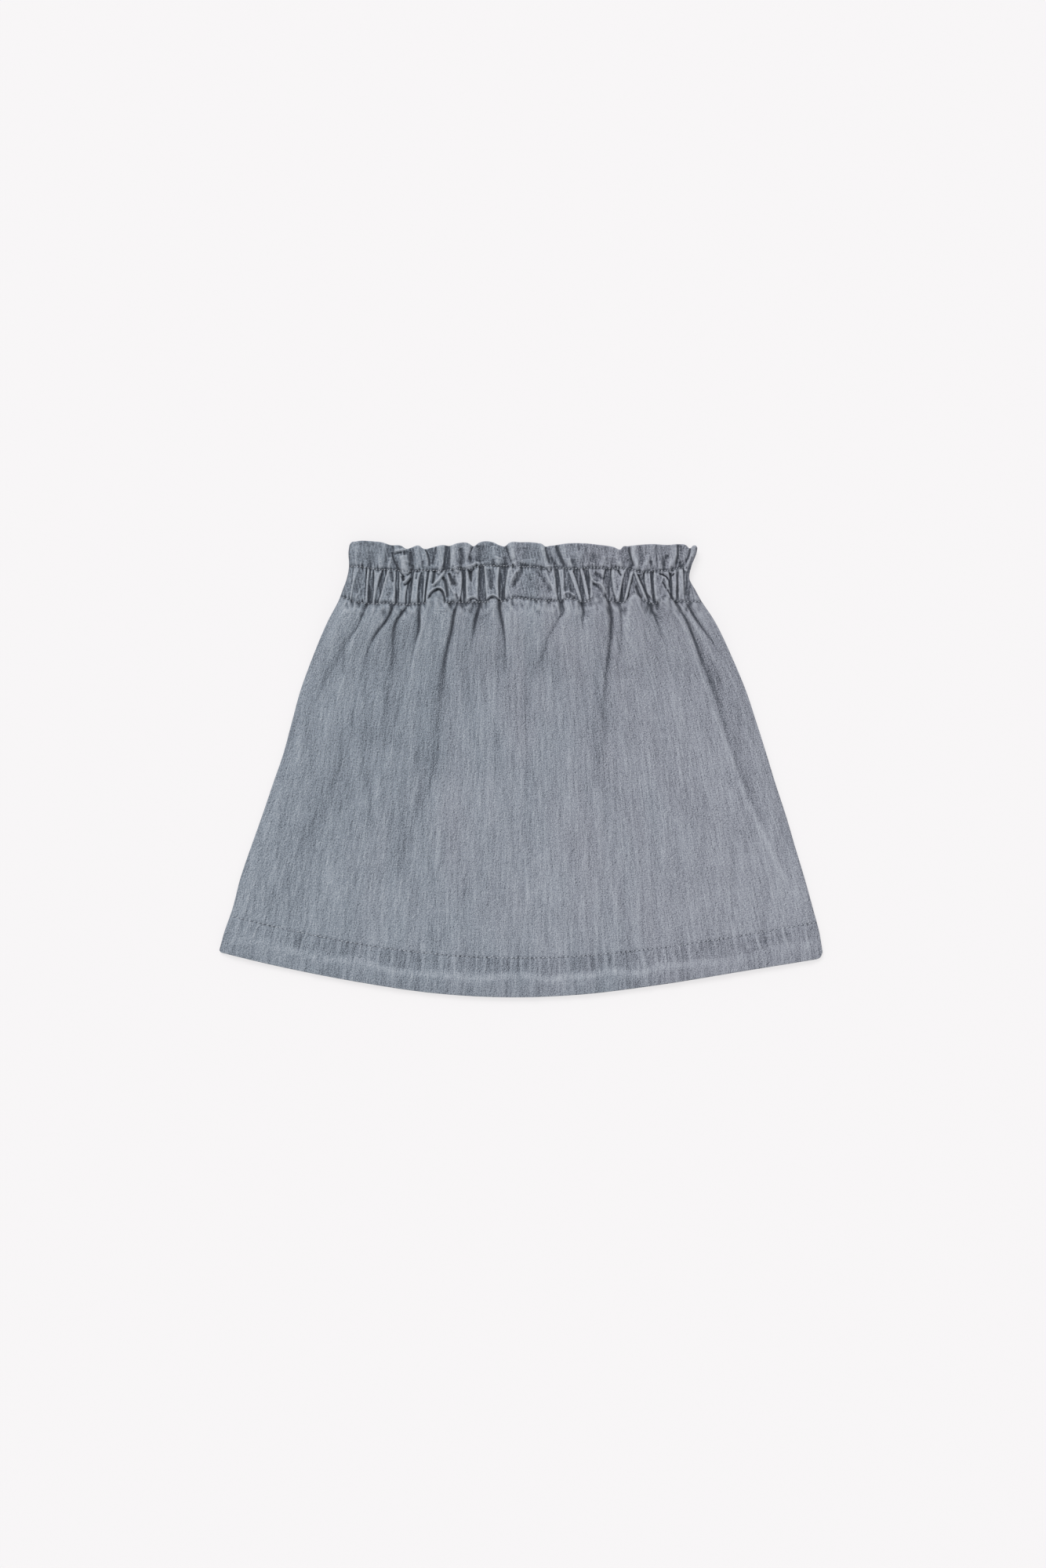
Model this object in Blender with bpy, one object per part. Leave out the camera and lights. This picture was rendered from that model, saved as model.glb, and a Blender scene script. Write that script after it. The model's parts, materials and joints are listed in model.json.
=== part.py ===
"""A child's elasticated paper-bag skirt in grey chambray, laid flat on its back panel.

Metres, +Z up. The origin is on the surface under the middle of the skirt, +X is across the
skirt and +Y runs up to the waist. All sizes below are in millimetres.
"""

from collections import namedtuple

import bmesh
import bpy
import numpy as np

MM = 0.001

# Rows of stitching and the edges they part, as heights up the skirt
FRILL_TOP = 151.0
UPPER_ROW = 133.4
LOWER_ROW = 111.9
SEAM_GAP = 0.3

# Walls: one layer of cloth for the body, turned and doubled cloth elsewhere
BODY_WALL = 1.0
CASING_WALL = 1.6
FRILL_WALL = 1.4
HEM_WALL = 1.5

# The elastic holds the waist up off the surface, and lets it down again this far below
WAIST_RISE = 2.4
RISE_FOOT = 58.0
# The front panel floats this much over the back between the side seams
LOFT = 0.7
SEAM_EASE = 9.0
HEM_CORNER = 4.5
# Folds keep this share of their height at a row of stitching, and at the side seams
HELD_DOWN = 0.62
HELD_REACH = 8.0
FRILL_FOOT = 0.55
SEAM_FOLDS = 0.25
# This share of a fold is hollow underneath, and the rest is cloth pushed together
HOLLOW = 0.55
# How sharply a fold's section comes up from its foot
CREST = 1.4
# Columns of a hem crowd towards its rounded corners by this share
CROWDING = 0.6
# Half the skirt's width where its rows begin and end
WAIST_SPAN = 110.0
HEM_SPAN = 196.0

# The side edges: left and right x at each height
Side = namedtuple("Side", "y left right")
SIDES = [
    Side(151.0, -112.0, 116.4),
    Side(133.4, -113.8, 112.4),
    Side(126.0, -115.0, 111.6),
    Side(118.0, -117.4, 115.0),
    Side(111.9, -120.2, 119.0),
    Side(99.0, -127.3, 127.2),
    Side(73.0, -138.3, 140.2),
    Side(31.5, -151.8, 155.8),
    Side(-10.0, -164.3, 168.8),
    Side(-51.5, -178.6, 181.8),
    Side(-93.0, -189.2, 193.0),
    Side(-121.0, -199.6, 199.6),
]

# The frill's top edge and the hem's edge and stitching: height at each x
Edge = namedtuple("Edge", "x y")
FRILL_EDGE = [
    Edge(-116, 147.5),
    Edge(-110, 150.8),
    Edge(-94, 150.8),
    Edge(-83, 148.0),
    Edge(-77, 146.0),
    Edge(-70, 147.5),
    Edge(-64, 146.0),
    Edge(-52, 148.8),
    Edge(-30, 149.8),
    Edge(-18, 150.0),
    Edge(-12, 147.5),
    Edge(-5, 149.8),
    Edge(14, 149.8),
    Edge(19, 147.6),
    Edge(28, 149.5),
    Edge(48, 149.6),
    Edge(64, 146.2),
    Edge(76, 148.6),
    Edge(104, 149.6),
    Edge(111, 147.8),
    Edge(117, 147.0),
]
HEM_EDGE = [
    Edge(-200, -121.0),
    Edge(-163, -129.9),
    Edge(-108, -140.8),
    Edge(-54, -148.6),
    Edge(0, -151.0),
    Edge(37, -149.4),
    Edge(92, -142.8),
    Edge(146, -134.0),
    Edge(200, -125.2),
]
HEM_ROW = [
    Edge(-192, -97.5),
    Edge(-150, -107.5),
    Edge(-90, -118.6),
    Edge(-30, -124.6),
    Edge(20, -125.0),
    Edge(80, -120.2),
    Edge(140, -111.5),
    Edge(197, -101.6),
]

# Gathers of the casing and flutes of the frill. Each runs from x = top to x = foot, is 2 half
# wide at its top and spread times that at its foot, and stands high above the groove beside it.
Gather = namedtuple("Gather", "top foot half spread high")
CASING_GATHERS = [
    Gather(-111.0, -116.5, 4.5, 1.2, 1.8),
    Gather(-106.5, -111.5, 3.0, 1.0, 2.6),
    Gather(-101.5, -102.5, 3.4, 1.0, 2.2),
    Gather(-94.5, -96.5, 3.8, 1.0, 3.2),
    Gather(-85.5, -88.0, 4.2, 1.5, 3.8),
    Gather(-77.5, -77.5, 3.6, 1.0, 3.6),
    Gather(-69.5, -70.0, 3.6, 1.0, 3.2),
    Gather(-61.5, -63.5, 3.6, 1.0, 3.0),
    Gather(-54.5, -55.5, 4.4, 1.9, 4.2),
    Gather(-46.5, -41.5, 4.6, 1.0, 3.8),
    Gather(-31.5, -31.5, 6.0, 1.0, 4.0),
    Gather(-18.0, -18.0, 6.6, 1.0, 4.2),
    Gather(-4.0, -4.0, 8.0, 1.0, 2.6),
    Gather(6.0, 6.0, 10.0, 1.0, 2.6),
    Gather(15.5, 16.0, 8.0, 1.0, 2.6),
    Gather(26.5, 27.0, 3.2, 1.0, 3.0),
    Gather(32.5, 38.5, 3.6, 1.0, 3.4),
    Gather(40.5, 45.0, 3.0, 1.0, 3.0),
    Gather(49.5, 54.0, 4.6, 1.6, 3.6),
    Gather(64.5, 62.8, 5.4, 0.8, 3.6),
    Gather(74.0, 76.0, 4.0, 1.9, 3.8),
    Gather(84.5, 86.0, 3.2, 1.0, 2.8),
    Gather(91.0, 94.0, 3.8, 1.3, 3.4),
    Gather(101.0, 101.5, 3.2, 1.0, 2.8),
    Gather(106.5, 108.0, 3.4, 1.2, 2.8),
    Gather(111.0, 116.5, 3.0, 1.4, 1.8),
]
FRILL_FLUTES = [
    Gather(-106.0, -106.0, 8.0, 0.9, 3.4),
    Gather(-93.0, -93.0, 7.0, 0.9, 3.6),
    Gather(-79.5, -76.5, 5.6, 0.6, 5.0),
    Gather(-67.5, -64.5, 5.0, 1.0, 4.2),
    Gather(-53.0, -53.0, 4.6, 1.0, 4.2),
    Gather(-44.0, -43.0, 3.6, 1.0, 3.4),
    Gather(-34.0, -34.0, 4.4, 1.0, 4.2),
    Gather(-20.5, -19.5, 9.6, 0.9, 4.6),
    Gather(3.5, 6.5, 13.2, 1.0, 5.0),
    Gather(22.0, 26.0, 4.0, 0.9, 3.6),
    Gather(34.0, 35.0, 9.0, 0.8, 3.8),
    Gather(48.0, 48.0, 13.0, 0.8, 4.4),
    Gather(60.0, 60.0, 7.0, 0.9, 3.8),
    Gather(70.5, 70.0, 4.0, 1.0, 3.8),
    Gather(81.0, 81.0, 9.0, 0.9, 4.8),
    Gather(97.0, 97.0, 7.4, 0.9, 4.2),
    Gather(107.5, 106.0, 4.4, 0.9, 2.8),
    Gather(115.0, 111.0, 3.0, 0.9, 2.6),
]

# Folds of the body: a crest from (x0, y0) down to (x1, y1), its reach to each side at the start,
# how far that has spread at the end, and its height at both ends
Fold = namedtuple("Fold", "x0 y0 x1 y1 left right spread high low")
BODY_FOLDS = [
    Fold(-104.0, 108, -117.0, 68, 6.0, 7.0, 1.6, 3.0, 0.5),
    Fold(-86.0, 112, -98.0, 84, 6.0, 4.5, 1.3, 3.4, 0.8),
    Fold(-77.5, 112, -85.0, 76, 4.5, 4.5, 1.4, 3.0, 0.6),
    Fold(-55.0, 114, -61.0, 62, 8.5, 9.5, 1.2, 5.0, 2.6),
    Fold(-61.0, 62, -114.0, -42, 10.0, 11.0, 1.7, 2.6, 0.2),
    Fold(-41.0, 111, -42.0, 84, 4.5, 4.5, 1.3, 2.4, 0.4),
    Fold(-30.0, 112, -31.5, 66, 6.5, 6.5, 1.5, 3.2, 0.6),
    Fold(-18.0, 114, -19.0, 88, 5.0, 5.0, 1.3, 3.4, 0.6),
    Fold(6.5, 112, 9.0, 40, 17.0, 17.0, 1.3, 2.4, 0.4),
    Fold(33.0, 112, 30.0, 66, 4.5, 6.5, 1.4, 3.0, 0.6),
    Fold(52.0, 114, 49.0, 34, 11.0, 5.0, 1.5, 4.4, 0.5),
    Fold(76.0, 114, 77.5, 50, 8.0, 8.5, 1.6, 3.8, 0.5),
    Fold(97.0, 112, 113.5, 73, 10.0, 4.5, 1.4, 3.8, 2.2),
    Fold(113.5, 73, 167.0, -67, 14.0, 6.5, 1.6, 2.2, 0.3),
    Fold(112.0, 109, 141.0, 47, 5.0, 5.5, 1.7, 2.6, 0.4),
]

# The back panel's own folds, pressed flat where they touch the surface
BACK_GATHERS = [
    Gather(-104.0, -107.0, 7.0, 1.2, 2.4),
    Gather(-89.0, -91.0, 6.0, 1.0, 2.4),
    Gather(-75.0, -75.5, 6.5, 1.0, 2.4),
    Gather(-61.5, -62.0, 5.5, 1.0, 2.4),
    Gather(-48.0, -47.0, 6.5, 1.0, 2.4),
    Gather(-33.0, -34.0, 6.0, 1.0, 2.4),
    Gather(-17.0, -17.0, 7.5, 1.0, 2.4),
    Gather(-1.0, 0.5, 6.0, 1.0, 2.4),
    Gather(13.0, 14.0, 6.0, 1.0, 2.4),
    Gather(28.0, 28.0, 7.0, 1.0, 2.4),
    Gather(44.0, 43.0, 6.5, 1.0, 2.4),
    Gather(58.0, 59.0, 5.5, 1.0, 2.4),
    Gather(72.0, 72.5, 6.5, 1.0, 2.4),
    Gather(87.0, 89.0, 6.0, 1.0, 2.4),
    Gather(101.0, 105.0, 6.5, 1.2, 2.4),
]

DENIM = (0.262, 0.286, 0.335, 1.0)
DENIM_SHADE = (0.168, 0.183, 0.214, 1.0)
CLOTH_ROUGHNESS = 0.92


def ease(t):
    """0 to 1 along a smooth step."""
    t = np.clip(t, 0.0, 1.0)
    return t * t * (3.0 - 2.0 * t)


def lerp(a, b, t):
    return a + (b - a) * t


def side_x(y, edge):
    """The left or right edge of the skirt at height y."""
    heights = [row.y for row in reversed(SIDES)]
    places = [getattr(row, edge) for row in reversed(SIDES)]
    return np.interp(y, heights, places)


def edge_y(x, rows):
    return np.interp(x, [row.x for row in rows], [row.y for row in rows])


def rounded(t):
    """The section of a fold of cloth, 1 at its crest and 0 at its foot."""
    return np.clip(1.0 - t * t, 0.0, None) ** CREST


def joined(heights):
    """One surface over several folds that run into each other."""
    return sum(height**3 for height in heights) ** (1.0 / 3.0)


def gathered(x, s, rows):
    """Height of the gathers at x, s of the way from their tops to their feet."""
    heights = []
    for row in rows:
        middle = lerp(row.top, row.foot, s)
        half = row.half * lerp(1.0, row.spread, s)
        heights.append(row.high * rounded((x - middle) / half))
    return joined(heights)


def folded(x, y):
    """Height of the body's folds at x, y."""
    heights = []
    for row in BODY_FOLDS:
        s = (row.y0 - y) / (row.y0 - row.y1)
        crest = lerp(row.x0, row.x1, s)
        reach = np.where(x < crest, row.left, row.right) * lerp(1.0, row.spread, np.clip(s, 0, 1))
        along = lerp(row.high, row.low, ease(s)) * ease(1.0 + 4.0 * s) * ease(2.0 - s)
        heights.append(along * rounded((x - crest) / reach))
    return joined(heights)


def pinched(distance):
    """Folds are held down at a row of stitching, and are free again a little away from it."""
    return lerp(HELD_DOWN, 1.0, ease(distance / HELD_REACH))


def rise(y):
    """How far the gathered waist holds the cloth up."""
    return WAIST_RISE * ease((y - RISE_FOOT) / (LOWER_ROW - RISE_FOOT))


def ends_ease(x, y):
    """0 at the side seams and 1 inside them."""
    near = np.minimum(x - side_x(y, "left"), side_x(y, "right") - x)
    return ease(near / SEAM_EASE)


def frill_folds(x, y):
    s = (FRILL_TOP - y) / (FRILL_TOP - UPPER_ROW)
    return gathered(x, s, FRILL_FLUTES) * lerp(1.0, FRILL_FOOT, ease(s))


def casing_folds(x, y):
    s = (UPPER_ROW - y) / (UPPER_ROW - LOWER_ROW)
    near = np.minimum(UPPER_ROW - y, y - LOWER_ROW)
    return gathered(x, s, CASING_GATHERS) * pinched(near)


def body_folds(x, y):
    return folded(x, y) * pinched(LOWER_ROW - y)


def no_folds(x, y):
    return 0.0 * x


def front_faces(folds, wall, back_wall):
    """The outer and inner heights of a front piece."""

    def inner_base(x, y):
        return back_wall + SEAM_GAP + rise(y) + LOFT * ends_ease(x, y)

    def outer(x, y):
        return inner_base(x, y) + wall + folds(x, y) * lerp(SEAM_FOLDS, 1.0, ends_ease(x, y))

    def inner(x, y):
        return inner_base(x, y) + HOLLOW * folds(x, y) * ends_ease(x, y)

    return outer, inner


def back_faces(wall, spread_from):
    """The inner and outer heights of a back piece, whose crests rest on the surface."""

    def outer(x, y):
        s = np.clip((spread_from - y) / (spread_from - RISE_FOOT), 0.0, 1.0)
        pressed = gathered(x, s, BACK_GATHERS) / WAIST_RISE * ends_ease(x, y)
        return rise(y) * (1.0 - np.clip(pressed, 0.0, 1.0))

    def inner(x, y):
        return outer(x, y) + wall

    return inner, outer


def band(top, foot, crowding=0.0):
    """Places points between two rows: u across the skirt, v down from the top row."""

    def place(u, v):
        u = lerp(u, 0.5 - 0.5 * np.cos(np.pi * u), crowding)
        top_side = top(lerp(-WAIST_SPAN, WAIST_SPAN, u))
        foot_side = foot(lerp(-HEM_SPAN, HEM_SPAN, u))
        y_side = lerp(top_side, foot_side, v)
        x = lerp(side_x(y_side, "left"), side_x(y_side, "right"), u)
        y = lerp(top(x), foot(x), v)
        return x, y

    return place


def level(y):
    return lambda x: y + 0.0 * x


def frill_edge(x):
    return edge_y(x, FRILL_EDGE)


def hem_row(x):
    return edge_y(x, HEM_ROW)


def hem_row_below(x):
    return hem_row(x) - SEAM_GAP


def hem_edge(x):
    """The hem's lower edge, rounded off at both corners."""
    y = edge_y(x, HEM_EDGE)
    near = np.minimum(x - SIDES[-1].left, SIDES[-1].right - x)
    inside = np.clip(HEM_CORNER - near, 0.0, HEM_CORNER)
    return y + HEM_CORNER - np.sqrt(HEM_CORNER**2 - inside**2)


def cloth(name, colour):
    material = bpy.data.materials.new(name)
    material.use_nodes = True
    shader = material.node_tree.nodes["Principled BSDF"]
    shader.inputs["Base Color"].default_value = colour
    shader.inputs["Roughness"].default_value = CLOTH_ROUGHNESS
    shader.inputs["Metallic"].default_value = 0.0
    material.diffuse_color = colour
    return material


def panel(name, colour, columns, rows, place, faces):
    """A closed wall of cloth over a grid, drawn flat and then thickened by an extrusion."""
    upper, lower = faces
    bm = bmesh.new()
    bmesh.ops.create_grid(bm, x_segments=columns, y_segments=rows, size=0.5)
    raised = bmesh.ops.extrude_face_region(bm, geom=list(bm.faces))["geom"]
    top_points = {item for item in raised if isinstance(item, bmesh.types.BMVert)}
    for point in bm.verts:
        x, y = place(point.co.x + 0.5, 0.5 - point.co.y)
        z = (upper if point in top_points else lower)(x, y)
        point.co = (x * MM, y * MM, z * MM)
    bmesh.ops.recalc_face_normals(bm, faces=bm.faces)
    mesh = bpy.data.meshes.new(name)
    bm.to_mesh(mesh)
    bm.free()
    mesh.shade_smooth()
    mesh.materials.append(cloth(name, colour))
    obj = bpy.data.objects.new(name, mesh)
    bpy.context.scene.collection.objects.link(obj)
    return obj


for leftover in list(bpy.data.objects):
    bpy.data.objects.remove(leftover)

frill_band = band(frill_edge, level(UPPER_ROW + SEAM_GAP / 2))
casing_band = band(level(UPPER_ROW - SEAM_GAP / 2), level(LOWER_ROW + SEAM_GAP / 2))
body_band = band(level(LOWER_ROW - SEAM_GAP / 2), hem_row)
hem_band = band(hem_row_below, hem_edge, CROWDING)

front_frill = front_faces(frill_folds, FRILL_WALL, FRILL_WALL)
front_casing = front_faces(casing_folds, CASING_WALL, CASING_WALL)
front_body = front_faces(body_folds, BODY_WALL, BODY_WALL)
front_hem = front_faces(no_folds, HEM_WALL, HEM_WALL)

panel("frill_front", DENIM, 92, 4, frill_band, front_frill)
panel("waist_casing_front", DENIM_SHADE, 104, 4, casing_band, front_casing)
panel("skirt_front", DENIM, 64, 14, body_band, front_body)
panel("hem_front", DENIM, 44, 2, hem_band, front_hem)

panel("frill_back", DENIM, 60, 2, frill_band, back_faces(FRILL_WALL, FRILL_TOP))
panel("waist_casing_back", DENIM_SHADE, 60, 2, casing_band, back_faces(CASING_WALL, FRILL_TOP))
panel("skirt_back", DENIM, 52, 8, body_band, back_faces(BODY_WALL, FRILL_TOP))
panel("hem_back", DENIM, 44, 1, hem_band, back_faces(HEM_WALL, FRILL_TOP))
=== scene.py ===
# %% [markdown]
# # A paper-bag skirt in grey chambray
#
# The real object is a girl's short skirt of washed grey chambray. It lies flat on a pale
# table and is seen from straight above. An elastic gathers the waist between two rows of
# stitching, the cloth above it stands as a frill, and the hem is turned up and stitched.
#
# The script dresses a solid model that is already the right size. It makes the cloth as
# thin shells over a grid, because a gathered skirt is one surface whose height changes from
# place to place, and a grid lets one small function say how high the cloth is anywhere.

# %% Load the frame
import json
from collections import namedtuple

import bpy
import numpy as np
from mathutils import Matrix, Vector

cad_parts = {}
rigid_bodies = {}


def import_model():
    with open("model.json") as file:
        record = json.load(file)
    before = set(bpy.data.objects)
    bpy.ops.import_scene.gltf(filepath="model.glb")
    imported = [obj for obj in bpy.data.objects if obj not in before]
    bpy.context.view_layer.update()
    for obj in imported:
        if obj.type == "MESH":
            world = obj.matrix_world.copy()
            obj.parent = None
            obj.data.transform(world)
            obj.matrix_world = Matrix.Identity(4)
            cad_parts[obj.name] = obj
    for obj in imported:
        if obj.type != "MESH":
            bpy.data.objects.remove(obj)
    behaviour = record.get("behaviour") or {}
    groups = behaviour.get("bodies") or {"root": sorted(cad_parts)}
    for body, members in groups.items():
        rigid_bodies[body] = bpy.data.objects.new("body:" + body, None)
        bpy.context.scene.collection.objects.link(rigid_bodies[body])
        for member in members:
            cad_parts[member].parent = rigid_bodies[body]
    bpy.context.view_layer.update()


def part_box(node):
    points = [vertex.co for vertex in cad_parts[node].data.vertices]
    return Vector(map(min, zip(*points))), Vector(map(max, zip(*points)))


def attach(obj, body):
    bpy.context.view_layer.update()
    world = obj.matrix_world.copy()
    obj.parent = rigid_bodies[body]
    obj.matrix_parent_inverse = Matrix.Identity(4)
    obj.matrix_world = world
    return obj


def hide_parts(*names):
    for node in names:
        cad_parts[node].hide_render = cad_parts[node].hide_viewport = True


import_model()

# %% [markdown]
# ## Sizes
#
# The tables below are in millimetres, which suit a garment, and the meshes in metres.
# The heights of the two rows of waist stitching come from the solid pieces, since a row
# is the seam between two of them. The levels of the cloth come from them too.

# %% Units and the rows of stitching
MM = 0.001


def box_mm(node):
    """A solid piece's lowest and highest corners in millimetres."""
    low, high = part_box(node)
    return np.array(low) / MM, np.array(high) / MM


FRILL_LOW, FRILL_HIGH = box_mm("frill_front")
CASING_LOW, CASING_HIGH = box_mm("waist_casing_front")
BODY_LOW, BODY_HIGH = box_mm("skirt_front")

UPPER_ROW = (FRILL_LOW[1] + CASING_HIGH[1]) / 2
LOWER_ROW = (CASING_LOW[1] + BODY_HIGH[1]) / 2
FRILL_TOP = FRILL_HIGH[1]
print(f"stitching at y = {UPPER_ROW:.1f} and {LOWER_ROW:.1f} mm, frill up to {FRILL_TOP:.1f} mm")

# %% [markdown]
# ## Camera, floor and light
#
# The photo looks straight down, so the camera hangs 2.5 metres above the table, and its
# lens is worked out from the width that the frame takes in at that distance. The light is
# a broad soft one from the top of the picture, a little to its left. A sun lamp with a wide
# angle gives the same light all over the floor, which an area lamp wouldn't, and a pale
# world fills the shadows as a white studio does. The table glows a little of its own, as a
# light table does, which keeps the cloth's shadow on it faint.

# %% The camera
PIXEL_MM = 0.52
FRAME_PIXELS = (1334, 2000)
CAMERA_HEIGHT = 2.5
SENSOR_MM = 36.0
CAMERA_X_MM = 1.8
CAMERA_Y_MM = -10.1


def make_camera():
    """A camera that looks straight down on the skirt."""
    data = bpy.data.cameras.new("camera")
    data.sensor_width = SENSOR_MM
    data.lens = SENSOR_MM * CAMERA_HEIGHT / (FRAME_PIXELS[1] * PIXEL_MM * MM)
    camera = bpy.data.objects.new("camera", data)
    camera.location = (CAMERA_X_MM * MM, CAMERA_Y_MM * MM, CAMERA_HEIGHT)
    bpy.context.scene.collection.objects.link(camera)
    bpy.context.scene.camera = camera
    return camera


camera = make_camera()
print(f"lens: {camera.data.lens:.1f} mm")

# %% The floor and the light
FLOOR_SIDE = 12.0
FLOOR_COLOUR = (0.220, 0.215, 0.2175, 1.0)
FLOOR_GLOW = (0.692, 0.681, 0.686, 1.0)
WORLD_STRENGTH = 0.62
SUN_STRENGTH = 1.75
SUN_WIDTH = 0.55
SUN_FROM = Vector((-0.42, 0.95, 1.25))


def make_floor():
    """The pale table that the skirt lies on."""
    mesh = bpy.data.meshes.new("floor")
    half = FLOOR_SIDE / 2
    corners = [(-half, -half, 0), (half, -half, 0), (half, half, 0), (-half, half, 0)]
    mesh.from_pydata(corners, [], [(0, 1, 2, 3)])
    floor = bpy.data.objects.new("floor", mesh)
    bpy.context.scene.collection.objects.link(floor)
    material = bpy.data.materials.new("floor")
    material.use_nodes = True
    shader = material.node_tree.nodes["Principled BSDF"]
    shader.inputs["Base Color"].default_value = FLOOR_COLOUR
    shader.inputs["Roughness"].default_value = 0.9
    shader.inputs["Emission Color"].default_value = FLOOR_GLOW
    shader.inputs["Emission Strength"].default_value = 1.0
    mesh.materials.append(material)


def make_light():
    """The wide lamp and the pale world."""
    sun = bpy.data.lights.new("window", "SUN")
    sun.energy = SUN_STRENGTH
    sun.angle = SUN_WIDTH
    lamp = bpy.data.objects.new("window", sun)
    lamp.rotation_mode = "QUATERNION"
    lamp.rotation_quaternion = SUN_FROM.to_track_quat("Z", "Y")
    bpy.context.scene.collection.objects.link(lamp)
    world = bpy.data.worlds.new("studio")
    world.use_nodes = True
    world.node_tree.nodes["Background"].inputs["Strength"].default_value = WORLD_STRENGTH
    world.node_tree.nodes["Background"].inputs["Color"].default_value = (1.0, 1.0, 1.0, 1.0)
    bpy.context.scene.world = world
    bpy.context.scene.view_settings.view_transform = "Standard"


make_floor()
make_light()
print("floor, one wide lamp and a pale world")

# %% [markdown]
# ## The skirt's outline
#
# Each edge is a short table of places read off, and a smooth curve goes through them.
# A Hermite curve with slopes taken from the neighbouring points is enough: it passes through
# every point and doesn't swing between them.

# %% A smooth curve through a table
def through(at, places, values):
    """Values at the given places on a smooth curve through a table."""
    places = np.asarray(places, float)
    values = np.asarray(values, float)
    slopes = np.gradient(values, places)
    at = np.clip(at, places[0], places[-1])
    low = np.clip(np.searchsorted(places, at, side="right") - 1, 0, len(places) - 2)
    width = places[low + 1] - places[low]
    t = (at - places[low]) / width
    rise = t * t * (3.0 - 2.0 * t)
    start = width * slopes[low] * t * (1.0 - t) ** 2
    end = width * slopes[low + 1] * t * t * (t - 1.0)
    return values[low] * (1.0 - rise) + values[low + 1] * rise + start + end


def ease(t):
    """0 to 1 along a smooth step."""
    t = np.clip(t, 0.0, 1.0)
    return t * t * (3.0 - 2.0 * t)


def lerp(a, b, t):
    """a where t is 0 and b where it is 1."""
    return a + (b - a) * t


print("halfway up a step:", through(0.5, [0, 1], [0, 10]))

# %% The edges of the skirt
Side = namedtuple("Side", "y left right")
SIDES = [
    Side(-121, -199.6, 200.2),
    Side(-108, -196, 198),
    Side(-93, -190.8, 194),
    Side(-72, -185.3, 188.2),
    Side(-51.5, -178.3, 182),
    Side(-31, -171, 176),
    Side(-10, -163.9, 169.1),
    Side(10, -157, 163),
    Side(31.5, -151.2, 156.2),
    Side(52, -145.6, 149.4),
    Side(73, -137.9, 140.6),
    Side(99, -126.7, 127.8),
    Side(111.9, -119.9, 119.3),
    Side(118, -117.7, 116),
    Side(126, -114.8, 111.9),
    Side(133.4, -113.4, 113.1),
    Side(144, -113.6, 116.9),
    Side(151, -112.4, 117.4),
]
Edge = namedtuple("Edge", "x y")
FRILL_EDGE = [
    Edge(-114, 146),
    Edge(-112.3, 149.1),
    Edge(-108.5, 150.3),
    Edge(-97, 150.3),
    Edge(-91.7, 149.7),
    Edge(-85.7, 147.9),
    Edge(-78.6, 147.3),
    Edge(-75.3, 145.4),
    Edge(-71.5, 146.4),
    Edge(-67.5, 147.6),
    Edge(-63.8, 145.4),
    Edge(-58, 146.4),
    Edge(-50.9, 147.9),
    Edge(-46.8, 147.4),
    Edge(-42, 148.9),
    Edge(-34, 148.9),
    Edge(-31, 147.1),
    Edge(-27.3, 149.4),
    Edge(-18, 149.7),
    Edge(-13.7, 147.7),
    Edge(-10, 147.1),
    Edge(-7.5, 149.1),
    Edge(0, 149.7),
    Edge(10.8, 149.2),
    Edge(14.6, 148.3),
    Edge(16.2, 147),
    Edge(19.5, 147.3),
    Edge(32.5, 149),
    Edge(45, 148.8),
    Edge(52, 148),
    Edge(57, 147.4),
    Edge(62, 146.4),
    Edge(65.6, 144.9),
    Edge(66.3, 145),
    Edge(67.6, 146.6),
    Edge(71.2, 147.1),
    Edge(88, 148.4),
    Edge(98, 147.9),
    Edge(105, 148.5),
    Edge(109.5, 147.9),
    Edge(112.1, 145.8),
    Edge(114.6, 147.7),
    Edge(116.6, 147.1),
    Edge(117.5, 145.5),
]
HEM_EDGE = [
    Edge(-200, -121.4),
    Edge(-163, -130.3),
    Edge(-108, -141.2),
    Edge(-54, -149),
    Edge(0, -151.4),
    Edge(37, -149.8),
    Edge(92, -143.2),
    Edge(146, -134.4),
    Edge(200, -125.6),
]
HEM_ROW = [
    Edge(-192, -97.5),
    Edge(-150, -107.5),
    Edge(-90, -118.6),
    Edge(-30, -124.6),
    Edge(20, -125),
    Edge(80, -120.2),
    Edge(140, -111.5),
    Edge(197, -101.6),
]
LEFT_CORNER = 1.5
RIGHT_CORNER = 3.8


def side_x(y, edge):
    """The left or right edge of the skirt at height y."""
    return through(y, [row.y for row in SIDES], [getattr(row, edge) for row in SIDES])


def edge_y(x, rows):
    """Height at x of a smooth curve through a table of places."""
    return through(x, [row.x for row in rows], [row.y for row in rows])


def hem_row(x):
    """The hem's row of stitching."""
    return edge_y(x, HEM_ROW)


def hem_edge(x):
    """The hem's lower edge, rounded off at both corners."""
    edge = edge_y(x, HEM_EDGE)
    corners = ((x - SIDES[0].left, LEFT_CORNER), (SIDES[0].right - x, RIGHT_CORNER))
    for near, radius in corners:
        inside = np.clip(radius - near, 0.0, radius)
        edge = edge + radius - np.sqrt(radius**2 - inside**2)
    return edge


def frill_edge(x):
    """The frill's upper edge."""
    return edge_y(x, FRILL_EDGE)


def inside_seams(x, y, reach):
    """0 at the side seams and 1 further in than the reach."""
    near = np.minimum(x - side_x(y, "left"), side_x(y, "right") - x)
    return ease(near / reach)


print(f"waist {side_x(LOWER_ROW, 'right') - side_x(LOWER_ROW, 'left'):.0f} mm across")

# %% [markdown]
# ## The rows of waist stitching
#
# A sewn row over gathers is never straight. Each one wanders about the seam between two
# solids, so a table gives how far the gathers pull it up or down.

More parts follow.
